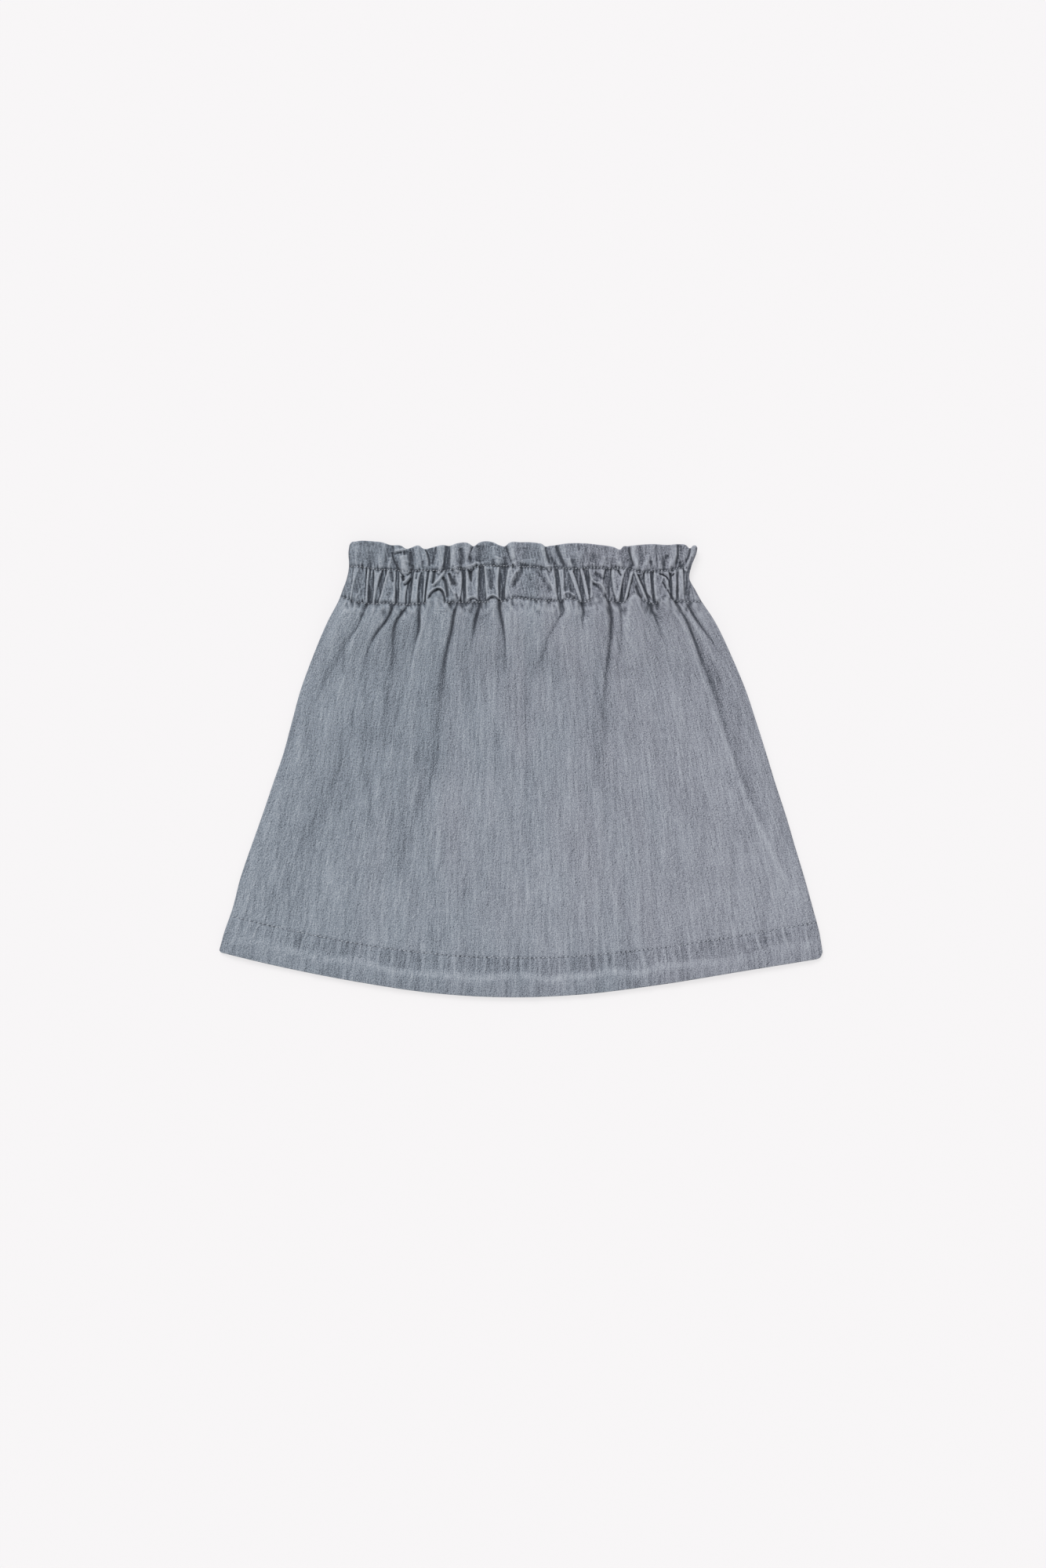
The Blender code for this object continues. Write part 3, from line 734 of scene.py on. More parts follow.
# %% The valleys' places
Fall = namedtuple("Fall", "y x left right deep")
VALLEYS = [
    [
        Fall(108, -101.5, 2.4, 1.8, 0.9),
        Fall(101, -104.6, 2.4, 1.4, 0.7),
        Fall(94, -107.6, 3.6, 1.6, 0.5),
        Fall(85, -114.4, 4, 3.2, 0.42),
        Fall(70, -122.4, 4.4, 3.6, 0.40),
        Fall(54, -131.4, 3.4, 3, 0.36),
        Fall(38, -138.5, 2.2, 2.2, 0.2),
        Fall(20, -145, 2, 2, 0),
    ],
    [
        Fall(109, -83.2, 2.6, 2.2, 1),
        Fall(104, -85.4, 2.4, 1.8, 1),
        Fall(98, -88.6, 1.7, 2, 1),
        Fall(91, -94.2, 1.4, 2.2, 0.95),
        Fall(83, -99, 1.8, 2.8, 0.62),
        Fall(73, -102.4, 2.6, 3.6, 0.5),
        Fall(60, -105.6, 3.4, 4, 0.24),
        Fall(44, -109.6, 3, 5, 0.14),
        Fall(28, -112.6, 5, 6, 0.3),
        Fall(12, -118, 8, 8, 0.34),
        Fall(-4, -122, 9, 10, 0.38),
        Fall(-22, -129.6, 9, 11, 0.36),
        Fall(-42, -140.6, 9, 10, 0.34),
        Fall(-60, -148, 8, 9, 0.28),
        Fall(-84, -158, 8, 8, 0),
    ],
    [
        Fall(109, -73.6, 2, 2, 1),
        Fall(104, -77.4, 1.8, 1.8, 1),
        Fall(97, -82, 1.3, 2.4, 0.85),
        Fall(88, -84, 2.4, 3.4, 0.7),
        Fall(74, -84.4, 3.4, 4.4, 0.66),
        Fall(60, -86.4, 3.4, 4.8, 0.56),
        Fall(44, -88.2, 2, 4.6, 0.55),
        Fall(32, -89.4, 3, 4, 0.34),
        Fall(20, -92, 4, 4, 0.16),
        Fall(0, -98, 5, 5, 0),
    ],
    [
        Fall(109, -66.4, 2.6, 2, 1),
        Fall(100, -66.8, 3, 1.1, 1),
        Fall(92, -67, 4.6, 0.9, 0.85),
        Fall(84, -69.4, 5, 0.9, 0.5),
        Fall(72, -71.8, 5, 1, 0.26),
        Fall(58, -74, 5, 1.2, 0.22),
        Fall(40, -78, 8, 1.6, 0.26),
        Fall(20, -85.4, 9, 2.6, 0.16),
        Fall(0, -91, 9, 3, 0.12),
        Fall(-30, -106, 9, 4, 0),
    ],
    [
        Fall(109, -41.8, 3.6, 2.4, 1),
        Fall(103, -43.6, 1.7, 1.7, 1),
        Fall(96, -44.8, 1.5, 1.8, 1),
        Fall(88, -46.2, 1.7, 1.9, 1),
        Fall(80, -48.2, 2, 1.9, 1),
        Fall(70, -50.2, 2.2, 1.6, 1),
        Fall(60, -51.6, 3, 1.5, 0.95),
        Fall(50, -52.4, 5.8, 1.6, 0.88),
        Fall(40, -53.6, 7, 1.8, 0.62),
        Fall(28, -54.2, 8.6, 2, 0.56),
        Fall(14, -54.4, 9.6, 2.2, 0.62),
        Fall(0, -56.4, 10, 3.2, 0.56),
        Fall(-12, -61.4, 9.4, 4.4, 0.46),
        Fall(-24, -66, 8.4, 5, 0.42),
        Fall(-38, -73, 9, 7, 0.3),
        Fall(-54, -79, 9, 8, 0.28),
        Fall(-80, -88, 8, 8, 0),
    ],
    [
        Fall(112, -35.8, 5, 3.4, 0.9),
        Fall(108, -36.2, 4.4, 2.8, 0.55),
        Fall(104, -37, 3, 2, 0),
    ],
    [
        Fall(111, -26, 3, 4.2, 1),
        Fall(104, -28, 2, 3.4, 0.95),
        Fall(97, -29.8, 2, 3.4, 0.85),
        Fall(90, -31, 2.6, 3, 0.55),
        Fall(80, -33, 4, 4, 0.22),
        Fall(64, -36, 5, 5, 0),
    ],
    [
        Fall(111, -13.6, 1.6, 2.2, 1),
        Fall(104, -13.2, 1.8, 1.2, 1),
        Fall(96, -11.6, 2.2, 0.8, 0.85),
        Fall(88, -10.4, 3.6, 0.7, 0.55),
        Fall(76, -9.6, 7, 0.7, 0.36),
        Fall(60, -9, 7, 0.9, 0.18),
        Fall(40, -9, 6, 1, 0),
    ],
    [
        Fall(110, 27.4, 2.4, 2, 1),
        Fall(104, 28.4, 3.4, 1.4, 0.85),
        Fall(98, 24.6, 3.4, 4.6, 0.5),
        Fall(88, 19.4, 2.6, 4.6, 0.38),
        Fall(76, 15, 3.4, 4, 0.34),
        Fall(62, 9, 5, 6, 0.22),
        Fall(40, 3, 6, 6, 0.12),
        Fall(10, 4, 4, 4, 0.14),
        Fall(-20, 5, 4, 4, 0),
    ],
    [
        Fall(110, 41, 2.4, 3.4, 1),
        Fall(104, 42, 1.9, 2.6, 0.9),
        Fall(98, 41.4, 2.4, 3, 0.4),
        Fall(88, 41, 3, 3, 0),
    ],
    [
        Fall(112, 58, 1, 2.4, 1),
        Fall(104, 59.8, 1.3, 2, 1),
        Fall(96, 60.2, 1.4, 2, 1),
        Fall(88, 59.8, 1.3, 2.4, 1),
        Fall(80, 59.2, 1.3, 2, 0.9),
        Fall(70, 57.8, 1.3, 2, 0.72),
        Fall(58, 56.2, 1.2, 1.8, 0.68),
        Fall(44, 55, 1.4, 2, 0.55),
        Fall(26, 54.4, 1.6, 2.2, 0.44),
        Fall(6, 52.8, 2, 2.6, 0.28),
        Fall(-20, 52, 2, 3, 0),
    ],
    [
        Fall(106, 66.4, 3, 1.6, 0.85),
        Fall(98, 67, 4.6, 1.2, 0.48),
        Fall(88, 67, 6, 1.4, 0.36),
        Fall(74, 65.6, 6, 2.4, 0.26),
        Fall(56, 63, 5, 3, 0.14),
        Fall(20, 63, 2, 2.4, 0.12),
        Fall(-10, 66, 2, 2, 0),
    ],
    [
        Fall(111, 86.6, 5, 3.4, 1),
        Fall(105, 87, 4.2, 5.6, 1),
        Fall(100, 89.4, 4.4, 8, 0.7),
        Fall(95, 90.6, 4.6, 8.4, 0.44),
        Fall(87, 94, 6, 8, 0.28),
        Fall(76, 98, 7, 8, 0),
    ],
    [
        Fall(110, 102.6, 1.6, 2.4, 0.8),
        Fall(104, 106.4, 1.2, 1.6, 0.5),
        Fall(97, 110.4, 0.9, 1.4, 0.8),
        Fall(88, 114.2, 0.9, 2.4, 1),
        Fall(78, 117.8, 1, 3.4, 1),
        Fall(68, 121.4, 1.2, 5.4, 1),
        Fall(58, 125.4, 1.4, 6.4, 1),
        Fall(48, 129, 1.4, 6.8, 0.82),
        Fall(38, 132.6, 1.6, 9.6, 0.58),
        Fall(26, 136, 1.6, 9.4, 0.52),
        Fall(12, 140.8, 1.6, 8.4, 0.42),
        Fall(-2, 145.6, 1.8, 7.6, 0.36),
        Fall(-16, 151, 1.8, 6, 0.32),
        Fall(-32, 158.6, 1.6, 4.6, 0.24),
        Fall(-48, 166, 1.6, 4, 0.14),
        Fall(-66, 174, 1.6, 3, 0),
    ],
    [
        Fall(112, 107.6, 1.6, 3.4, 1),
        Fall(107, 111.2, 1.3, 3.4, 1),
        Fall(100, 115.4, 1.3, 2.6, 0.9),
        Fall(92, 121, 1.4, 3, 0.66),
        Fall(84, 127.2, 1.8, 4, 0.4),
        Fall(72, 134.6, 2, 4, 0.24),
        Fall(56, 143, 2, 3, 0),
    ],
]
print(len(VALLEYS), "valleys")

# %% The finer folds of the body
BODY_STROKES = [
    Stroke(-106.4, 103, -109.6, 84, -115.4, 64, 1.6, 2.6, 0.5),
    Stroke(-115.4, 64, -122, 44, -131, 12, 2.6, 4, 0.55),
    Stroke(-98.6, 103.6, -91.6, 106, -87.6, 103, 1, 1.2, 0.7),
    Stroke(-80, 105.6, -76.6, 107, -78.4, 104.6, 0.9, 0.8, 0.6),
    Stroke(-71.4, 108.6, -69.6, 105, -71.4, 102.6, 0.9, 0.8, 0.8),
    Stroke(-64.6, 99, -65.6, 90, -70.2, 72, 0.9, 1.3, 0.6),
    Stroke(-70.2, 72, -75, 48, -84.6, 18, 1.3, 2.6, 0.45),
    Stroke(-84.6, 18, -93, -6, -106, -30, 2.6, 4.6, 0.4),
    Stroke(-57.2, 113.6, -56.4, 108, -56, 100, 1.9, 1.6, 0.9),
    Stroke(-62.8, 108, -60, 112.6, -57, 114.4, 0.7, 0.9, 0.8),
    Stroke(-52.4, 112, -49, 106.6, -45.2, 106, 0.7, 0.8, 0.8),
    Stroke(-47, 100, -47.8, 92, -50.6, 80, 0.7, 0.8, 0.3),
    Stroke(-40, 101.6, -36, 106.8, -31.6, 105.4, 0.8, 1, 0.9),
    Stroke(-31, 109.4, -29.8, 106.4, -30.6, 103, 0.7, 0.8, 0.8),
    Stroke(-23.6, 103, -19.6, 106.4, -17.2, 111.4, 0.9, 0.7, 1),
    Stroke(-17.2, 110.6, -17.4, 105, -18.4, 98, 0.8, 1.2, 0.8),
    Stroke(-9.4, 108.4, -9.8, 100, -8.6, 84, 0.8, 1.1, 0.4),
    Stroke(-10.2, 107, -5, 108.8, 2, 108.6, 0.9, 0.9, -0.4),
    Stroke(21.6, 108, 24, 105, 22.4, 100, 0.9, 1.1, -0.5),
    Stroke(31.4, 111, 32, 106, 31.4, 98, 0.9, 1.2, 0.9),
    Stroke(35.6, 110.6, 36.6, 106, 37, 101, 0.8, 1, 0.7),
    Stroke(44.6, 108.4, 48, 110.6, 52.6, 111.6, 0.7, 0.8, 0.6),
    Stroke(46, 105, 49.4, 105, 52, 106.8, 0.6, 0.6, -0.5),
    Stroke(54.4, 112.6, 56.8, 104, 57.4, 92, 0.8, 0.9, 0.6),
    Stroke(72, 108, 73.6, 112, 76, 113.2, 0.8, 1, 0.9),
    Stroke(74.8, 112, 72, 104, 71, 92, 1.4, 1.6, 0.5),
    Stroke(77, 111.4, 80.4, 105, 83.4, 97, 0.9, 1.1, 0.6),
    Stroke(88.4, 109.6, 88.6, 106, 88.8, 103.4, 0.6, 0.6, 1),
    Stroke(92.6, 111, 96.6, 109, 100.4, 104, 0.8, 0.9, 0.8),
    Stroke(100.4, 104, 106, 97.6, 111.2, 88, 0.9, 1.1, 0.6),
    Stroke(111.2, 88, 118.4, 67, 127, 41, 1, 1.4, 0.5),
    Stroke(127, 41, 138.4, 10, 150, -22, 1.7, 2.2, 0.7),
    Stroke(150, -22, 161, -44, 177, -78, 2.2, 2.4, 0.7),
    Stroke(106.4, 108, 113, 97.6, 121.6, 84, 0.8, 1.1, 0.7),
    Stroke(121.6, 84, 129.6, 71, 138, 52, 1.1, 1.6, 0.4),
]
print(len(BODY_STROKES), "ridges and furrows in the body")

# %% How deep the valleys are
FOLD_FOOT = 0.85
FOLD_TOP = 3.6
VALLEY_OPENS = 0.35
OPENS_WITHIN = 6.5
SHADOW_REACH = 0.95
SHADOW_POWER = 1.15
CREASE_SHARE = 0.36
CREASE_FOOT = 40.0
CREASE_RISE = 50.0
CREASE_WIDTH = 0.9
RISE_FOOT = 58.0


def rise(y):
    """The share of the waist's height that the cloth has at y."""
    return ease((y - RISE_FOOT) / (LOWER_ROW - RISE_FOOT))


def valleyed(x, y, spread=1.0):
    """0 on the folds of the body and 1 in the deepest valleys between them.

    spread makes the shadows of the valleys that many times as wide.
    """
    still_high = np.ones_like(x)
    wider = 1.0 + VALLEY_OPENS * ease((y - lower_row(x)) / OPENS_WITHIN + 1.0)
    crisp = CREASE_SHARE * ease((y - CREASE_FOOT) / CREASE_RISE)
    for rows in VALLEYS:
        upward = rows[::-1]
        ys = [row.y for row in upward]
        middle, left, right, deep = (
            through(y, ys, [getattr(row, name) for row in upward])
            for name in ("x", "left", "right", "deep")
        )
        reach = np.where(x < middle, left, right)
        away = np.abs(x - middle)
        shadow = np.exp(-((away / (SHADOW_REACH * spread * reach * wider)) ** SHADOW_POWER))
        crease = np.exp(-((away / np.minimum(reach, CREASE_WIDTH)) ** 2))
        still_high *= 1.0 - np.clip(deep, 0.0, 1.0) * lerp(shadow, crease, crisp)
    return 1.0 - still_high


print("over the seam the valleys' shadows are", 1.0 + VALLEY_OPENS, "times as wide")

# %% [markdown]
# ## The cloth's level
#
# The front lies on the back. The elastic lifts the waist, so both panels slope up to it,
# and the front floats a little between the side seams, where it is sewn to the back.

# %% Levels of the front and back
WAIST_LEVEL = CASING_LOW[2]
BODY_LEVEL = BODY_LOW[2]
LOFT = 0.7
SEAM_REACH = 9.0
FRONT_WALL = 1.0
WAIST_WALL = 1.4
CLOTH = 0.75
DOUBLED_CLOTH = 1.1


def front_level(x, y):
    """The level of the front's cloth before its folds."""
    level = lerp(BODY_LEVEL + FRONT_WALL, WAIST_LEVEL + WAIST_WALL, rise(y))
    return level + LOFT * inside_seams(x, y, SEAM_REACH)


print(f"the front's level: {BODY_LEVEL + FRONT_WALL:.1f} mm at the hem")
print(f"and {WAIST_LEVEL + WAIST_WALL:.1f} mm at the waist")

# %% [markdown]
# ## How high the front's cloth stands
#
# One function gives the waist's height and one the body's, and they blend at the lower row,
# so the front is one surface from the frill to the hem. The rows of stitching pinch the cloth
# down. The feet of the frill's flutes hang over the upper row, and the tops of some of the
# body's folds stand up over the lower one, so both edges are bumpy and not straight.

# %% Height of the front's waist
PINCH = 0.42
PINCH_REACH = 1.5
BLEND = 1.4
FOLD_SCALE = 1.15
FRILL_SOFT = 3.6
FRILL_FOOT = 0.82
FRILL_TAPER = 0.375
CASING_SOFT = 1.3
WAIST_RIPPLES = Ripple(0, 4.0, 14.0, 0.16)
FINE_RIPPLES = Ripple(8, 3.0, 5.0, 0.12)
ROW_PUCKERS = Pucker(9, 3.2, 0.3)
UPPER_PUCKER_REACH = 2.6
LOWER_PUCKER_REACH = 2.2
LOWEST_WAIST = -0.2
WAIST_AT_SEAM = 0.35
WAIST_SEAM_REACH = 3.0
Bump = namedtuple("Bump", "x half high")
TOES = [
    Bump(-98, 3, 0.8),
    Bump(-75.8, 4.6, 4.6),
    Bump(-64.9, 3.6, 1.2),
    Bump(-54.1, 2.9, 3.2),
    Bump(-41.4, 2.6, 3.2),
    Bump(-32.6, 3.2, 2.4),
    Bump(-14.6, 2.6, 0.8),
    Bump(-1.8, 2.4, 0.8),
    Bump(18.7, 2.8, 2.6),
    Bump(25.6, 2.2, 1.4),
    Bump(34, 2.6, 1.8),
    Bump(66.4, 2.8, 2.2),
    Bump(78.2, 3.4, 2),
    Bump(93.8, 2.2, 1),
    Bump(99.8, 2, 2.4),
    Bump(109.8, 2.2, 2.6),
]


def bumps(x, rows):
    """A sum of round bumps along a row, each with its middle, half width and height."""
    parts = [row.high * np.clip(1.0 - ((x - row.x) / row.half) ** 2, 0.0, None) for row in rows]
    return np.sum(parts, axis=0)


def toe(x):
    """How far the feet of the flutes hang down over the upper row of stitching."""
    return bumps(x, TOES)


def on_frill(x, y):
    """1 on the frill and 0 on the casing."""
    return ease((y - upper_row(x) + toe(x)) / BLEND + 0.5)


def near_row(y, row, reach=PINCH_REACH):
    """1 at a row of stitching and 0 away from it."""
    return np.exp(-(((y - row) / reach) ** 2))


def waist_height(x, y):
    """Height of the waist's cloth over its level."""
    upper, lower = upper_row(x), lower_row(x)
    s_frill = np.clip((FRILL_TOP - y) / (FRILL_TOP - upper), 0.0, 1.0)
    s_casing = np.clip((upper - y) / (upper - lower), 0.0, 1.0)
    tapered = lerp(1.0, FRILL_FOOT, ease((s_frill - FRILL_TAPER) / (1.0 - FRILL_TAPER)))
    frill = faced(x, s_frill, FRILL_FACES, FRILL_SOFT) * tapered
    casing = faced(x, s_casing, CASING_FACES, CASING_SOFT)
    held = 1.0 - PINCH * np.maximum(near_row(y, upper), near_row(y, lower))
    height = lerp(casing, frill, on_frill(x, y)) * held
    height = height + stroked(x, y, CASING_STROKES + FRILL_STROKES)
    height = height + rippled(x, y, WAIST_RIPPLES) + rippled(x, y, FINE_RIPPLES)
    near = np.maximum(near_row(y, upper, UPPER_PUCKER_REACH), near_row(y, lower, LOWER_PUCKER_REACH))
    height = height + puckered(x, ROW_PUCKERS) * near
    seams = lerp(WAIST_AT_SEAM, 1.0, inside_seams(x, y, WAIST_SEAM_REACH))
    return np.maximum(FOLD_SCALE * height, LOWEST_WAIST) * seams


print(f"the frill's feet hang down by up to {toe(waist_xs).max():.1f} mm")


# %% [markdown]
# ## The front's body and hem
#
# The body's height is its folds less the valleys between them. The hem is a second, thicker
# band. Its stitching holds it down, the edge turned in behind it makes it swell, and the pull
# of the thread gathers it into short upright puckers, which sewers call roping.

# %% Height of the front's body and hem
SEAM_BLEND = 1.8
POKES = [
    Bump(-56.6, 6.4, 4),
    Bump(-17.8, 4.4, 2.6),
    Bump(31.6, 3.4, 0.6),
    Bump(50.8, 7.4, 1.8),
    Bump(75, 5.4, 2.6),
    Bump(95.6, 5, 1),
]

HEM_SWELL = 0.6
HEM_ROLL = 0.4
HEM_FURROW = 0.35
FURROW_REACH = 0.9
FOLDED_EDGE = 13.4
HEM_FLARE = 0.0019
ROPING = 0.5
ROPE_PITCH = 6.2
ROPE_SHARPNESS = 4
ROPE_MIDDLING = 0.65
ROPE_LEAST = 0.15
ROPE_MOST = 1.1
ROPE_DRIFT = Pucker(1, 55.0, 0.14)
ROPE_VARIES = Pucker(15, 11.0, 0.4)

TOP_PUCKERS = Pucker(2, 3.6, 0.9)
TOP_CREASES = Ripple(14, 7.0, 20.0, 1.0)
CREASE_HEIGHT = 0.9
CREASES_FOOT = 14.0
CREASES_FADE = 11.0
LONG_RIPPLES = Ripple(3, 20.0, 160.0, 0.14)
SHORT_RIPPLES = Ripple(4, 6.0, 60.0, 0.10)
BODY_PINCH = 0.3
BODY_AT_SEAM = 0.3
BODY_REST = 0.25
LOWEST_BODY = -0.5


def poke(x):
    """How many millimetres the folds of the body stand up over the lower row of stitching."""
    return bumps(x, POKES)


def row_shows(x):
    """1 where the lower row of stitching is in sight and 0 where a fold's top covers it."""
    return ease(1.0 - poke(x))


def hem_band(x, y):
    """Depth below the hem's stitching, and a place across that follows the flare."""
    below = hem_row(x) - y
    return below, x * (1.0 - HEM_FLARE * below)


def roped(across):
    """1 on the narrow puckers along the hem and 0 between them, at nearly even distances."""
    phase = across / ROPE_PITCH + puckered(across, ROPE_DRIFT)
    strength = np.clip(ROPE_MIDDLING + puckered(across, ROPE_VARIES), ROPE_LEAST, ROPE_MOST)
    return strength * (0.5 + 0.5 * np.cos(2.0 * np.pi * phase)) ** ROPE_SHARPNESS


def hem_relief(x, y):
    """The turned-up hem: thicker, held down by its stitching and puckered along it."""
    below, across = hem_band(x, y)
    turn = 2.0 * np.pi * np.clip(below / (2.0 * FOLDED_EDGE), 0.0, 1.0)
    swell = HEM_SWELL * ease(below / 2.0) * (1.0 - HEM_ROLL * (1.0 + np.cos(turn)))
    rope = ROPING * roped(across) * ease((below + 2.0) / 3.0) * ease((FOLDED_EDGE - below) / 5.0)
    furrow = HEM_FURROW * near_row(below, 0.0, FURROW_REACH)
    return swell + rope - furrow


def body_height(x, y):
    """Height of the body's cloth over its level."""
    row = lower_row(x)
    below = row - y
    folds = lerp(FOLD_FOOT, FOLD_TOP, rise(y)) * (1.0 - valleyed(x, y))
    height = folds + stroked(x, y, BODY_STROKES)
    height = height + puckered(x, TOP_PUCKERS) * ease((6.0 - below) / 5.0)
    creases = CREASE_HEIGHT * (0.5 - np.abs(rippled(x, y, TOP_CREASES)))
    height = height + creases * ease((CREASES_FOOT - below) / CREASES_FADE) * row_shows(x)
    height = height + rippled(x, y, LONG_RIPPLES) + rippled(x, y, SHORT_RIPPLES)
    held = 1.0 - BODY_PINCH * near_row(y, row) * row_shows(x)
    seams = lerp(BODY_AT_SEAM, 1.0, inside_seams(x, y, SEAM_REACH))
    return (BODY_REST + np.maximum(height, LOWEST_BODY)) * held * seams + hem_relief(x, y)


def front_seam(x):
    """The line where the waist's piece ends and the body's begins, over the folds' tops."""
    return lower_row(x) + poke(x)


def front_height(x, y):
    """Height of the front's cloth over its level, one surface from the frill to the hem."""
    above = ease((y - front_seam(x)) / SEAM_BLEND + 0.5)
    return lerp(body_height(x, y), waist_height(x, y), above)


spot = front_height(np.array([-31.5]), np.array([122.0]))[0]
print(f"a gather of the casing stands {spot:.1f} mm over its level")

# %% [markdown]
# ## From heights to cloth
#
# Each panel is drawn as a grid in its own directions, u across and v down, so that the
# columns follow the flare as the yarns do. The grid's outer side gets the heights, and an
# inner side lies a cloth's thickness below it. Both meet in a rounded edge. The same grid
# gives two UV maps. One measures along the cloth, up and down its folds, for the weave. The
# other follows the yarns, which fan out with the flare. The mesh also carries its wear and
# its painted shade, which a later step works out.

# %% Build a shell over a grid
EDGE_ROUND = 0.9
EDGE_LEFT = 0.04
MOST_STRETCH = 1.8
YARNS_WIDTH = 330.0


def crowded(count, share):
    """Numbers from 0 to 1 that crowd towards both ends."""
    t = np.linspace(0.0, 1.0, count)
    return lerp(t, 0.5 - 0.5 * np.cos(np.pi * t), share)


def blurred(grid, cells):
    """The grid averaged over a number of cells to each side, and as many up and down."""
    for axis in (0, 1):
        pad = [(0, 0), (0, 0)]
        pad[axis] = (cells + 1, cells)
        sums = np.cumsum(np.pad(grid, pad, mode="edge"), axis=axis)
        high = np.take(sums, np.arange(2 * cells + 1, sums.shape[axis]), axis=axis)
        low = np.take(sums, np.arange(0, sums.shape[axis] - 2 * cells - 1), axis=axis)
        grid = (high - low) / (2 * cells + 1)
    return grid


def edge_distance(x, y, open_edge):
    """How far each point of the grid is from the cloth's edges, in millimetres.

    open_edge is the row of the grid, first or last, where the cloth goes on in another piece.
    """
    down = np.cumsum(np.hypot(np.diff(x, axis=0), np.diff(y, axis=0)), axis=0)
    down = np.vstack([np.zeros((1, x.shape[1])), down])
    across = np.cumsum(np.hypot(np.diff(x, axis=1), np.diff(y, axis=1)), axis=1)
    across = np.hstack([np.zeros((x.shape[0], 1)), across])
    edge = down[-1] - down if open_edge == "first" else down
    return np.min([edge, across, across[:, -1:] - across], axis=0)


def grid_faces(rows, columns):
    """The four corners of each face of a grid."""
    index = np.arange(rows * columns).reshape(rows, columns)
    corners = [index[:-1, :-1], index[1:, :-1], index[1:, 1:], index[:-1, 1:]]
    return np.stack(corners, axis=-1).reshape(-1, 4)


def border(rows, columns):
    """The grid's border points in order, round to the start."""
    index = np.arange(rows * columns).reshape(rows, columns)
    return np.concatenate([index[0, :-1], index[:-1, -1], index[-1, :0:-1], index[:0:-1, 0]])


def arc(*sides, axis):
    """The length along the cloth of each point of a grid, from the grid's middle line."""
    steps = np.sqrt(sum(np.diff(side, axis=axis) ** 2 for side in sides))
    start = [(0, 0), (0, 0)]
    start[axis] = (1, 0)
    length = np.cumsum(np.pad(steps, start), axis=axis)
    return length - np.take(length, [length.shape[axis] // 2], axis=axis)


def add_map(mesh, name, across, along):
    """A UV map in metres, the same for the outer and the inner side of a shell."""
    both = np.tile(np.stack([across, along], axis=-1).reshape(-1, 2), (2, 1)) * MM
    corners = np.empty(len(mesh.loops), np.int32)
    mesh.loops.foreach_get("vertex_index", corners)
    mesh.uv_layers.new(name=name).data.foreach_set("uv", both[corners].ravel())


def shell(name, us, x, y, outer, thickness, wear_and_shade, open_edge, facing=1.0):
    """A closed thin shell. facing is 1 if its outer side looks up, -1 if it looks down."""
    rows, columns = x.shape
    near = np.clip(edge_distance(x, y, open_edge) / EDGE_ROUND, 0.0, 1.0)
    roundness = lerp(EDGE_LEFT, 1.0, np.sqrt(1.0 - (1.0 - near) ** 2))
    slope_x = np.gradient(outer, axis=1) / np.maximum(np.abs(np.gradient(x, axis=1)), 1e-6)
    slope_y = np.gradient(outer, axis=0) / np.maximum(np.abs(np.gradient(y, axis=0)), 1e-6)
    deep = thickness * np.clip(np.sqrt(1.0 + slope_x**2 + slope_y**2), 1.0, MOST_STRETCH)
    middle = outer - facing * thickness / 2.0
    top = middle + facing * thickness / 2.0 * roundness
    bottom = middle - facing * (deep - thickness / 2.0) * roundness
    sides = [np.stack([x, y, level], axis=-1).reshape(-1, 3) for level in (top, bottom)]
    points = np.concatenate(sides)
    faces = grid_faces(rows, columns)
    rim = border(rows, columns)
    beyond = np.roll(rim, -1)
    side = np.stack([rim, rim + rows * columns, beyond + rows * columns, beyond], axis=-1)
    faces = np.concatenate([faces, faces[:, ::-1] + rows * columns, side[:, ::-1]])
    if facing < 0:
        faces = faces[:, ::-1]
    mesh = bpy.data.meshes.new(name)
    mesh.from_pydata((points * MM).tolist(), [], faces.tolist())
    mesh.shade_smooth()
    add_map(mesh, "weave", arc(x, outer, axis=1), arc(y, outer, axis=0))
    add_map(mesh, "yarns", np.broadcast_to((us - 0.5) * YARNS_WIDTH, x.shape), y)
    layer = mesh.attributes.new("wear_and_shade", "FLOAT", "POINT")
    layer.data.foreach_set("value", np.tile(wear_and_shade.ravel(), 2).astype(np.float32))
    piece = bpy.data.objects.new(name, mesh)
    bpy.context.scene.collection.objects.link(piece)
    heights = points[:, 2]
    print(f"{name}: {2 * len(faces)} triangles, {heights.min():.1f} to {heights.max():.1f} mm up")
    return piece


# %% Lay a grid over bands
WAIST_US = crowded(560, 0.06)
FRILL_ROWS = 36
CASING_ROWS = 48
BODY_US = crowded(400, 0.06)
BODY_ROWS = 100
HEM_ROWS = 22
WAIST_CROWD = 0.35
BODY_CROWD = 0.55
FIRST_GUESS = 115.0
LAY_ROUNDS = 4


def lay(us, vs, top, foot):
    """Points between two lines across the skirt."""
    u, v = np.meshgrid(us, vs)
    x = lerp(-FIRST_GUESS, FIRST_GUESS, u)
    for _ in range(LAY_ROUNDS):
        y = lerp(top(x), foot(x), v)
        x = lerp(side_x(y[:, :1], "left"), side_x(y[:, -1:], "right"), u)
    return x, y


def stacked(us, lines, counts, share):
    """One grid over several bands, each between two lines across the skirt."""
    xs, ys = [], []
    for number, (top, foot, count) in enumerate(zip(lines, lines[1:], counts)):
        x, y = lay(us, crowded(count + 1, share), top, foot)
        start = 0 if number == 0 else 1
        xs.append(x[start:])
        ys.append(y[start:])
    return np.vstack(xs), np.vstack(ys)


waist_grid = stacked(
    WAIST_US, [frill_edge, upper_row, front_seam], [FRILL_ROWS, CASING_ROWS], WAIST_CROWD
)
body_grid = stacked(BODY_US, [front_seam, hem_row, hem_edge], [BODY_ROWS, HEM_ROWS], BODY_CROWD)
print("points of the front's waist and body:", waist_grid[0].shape, body_grid[0].shape)
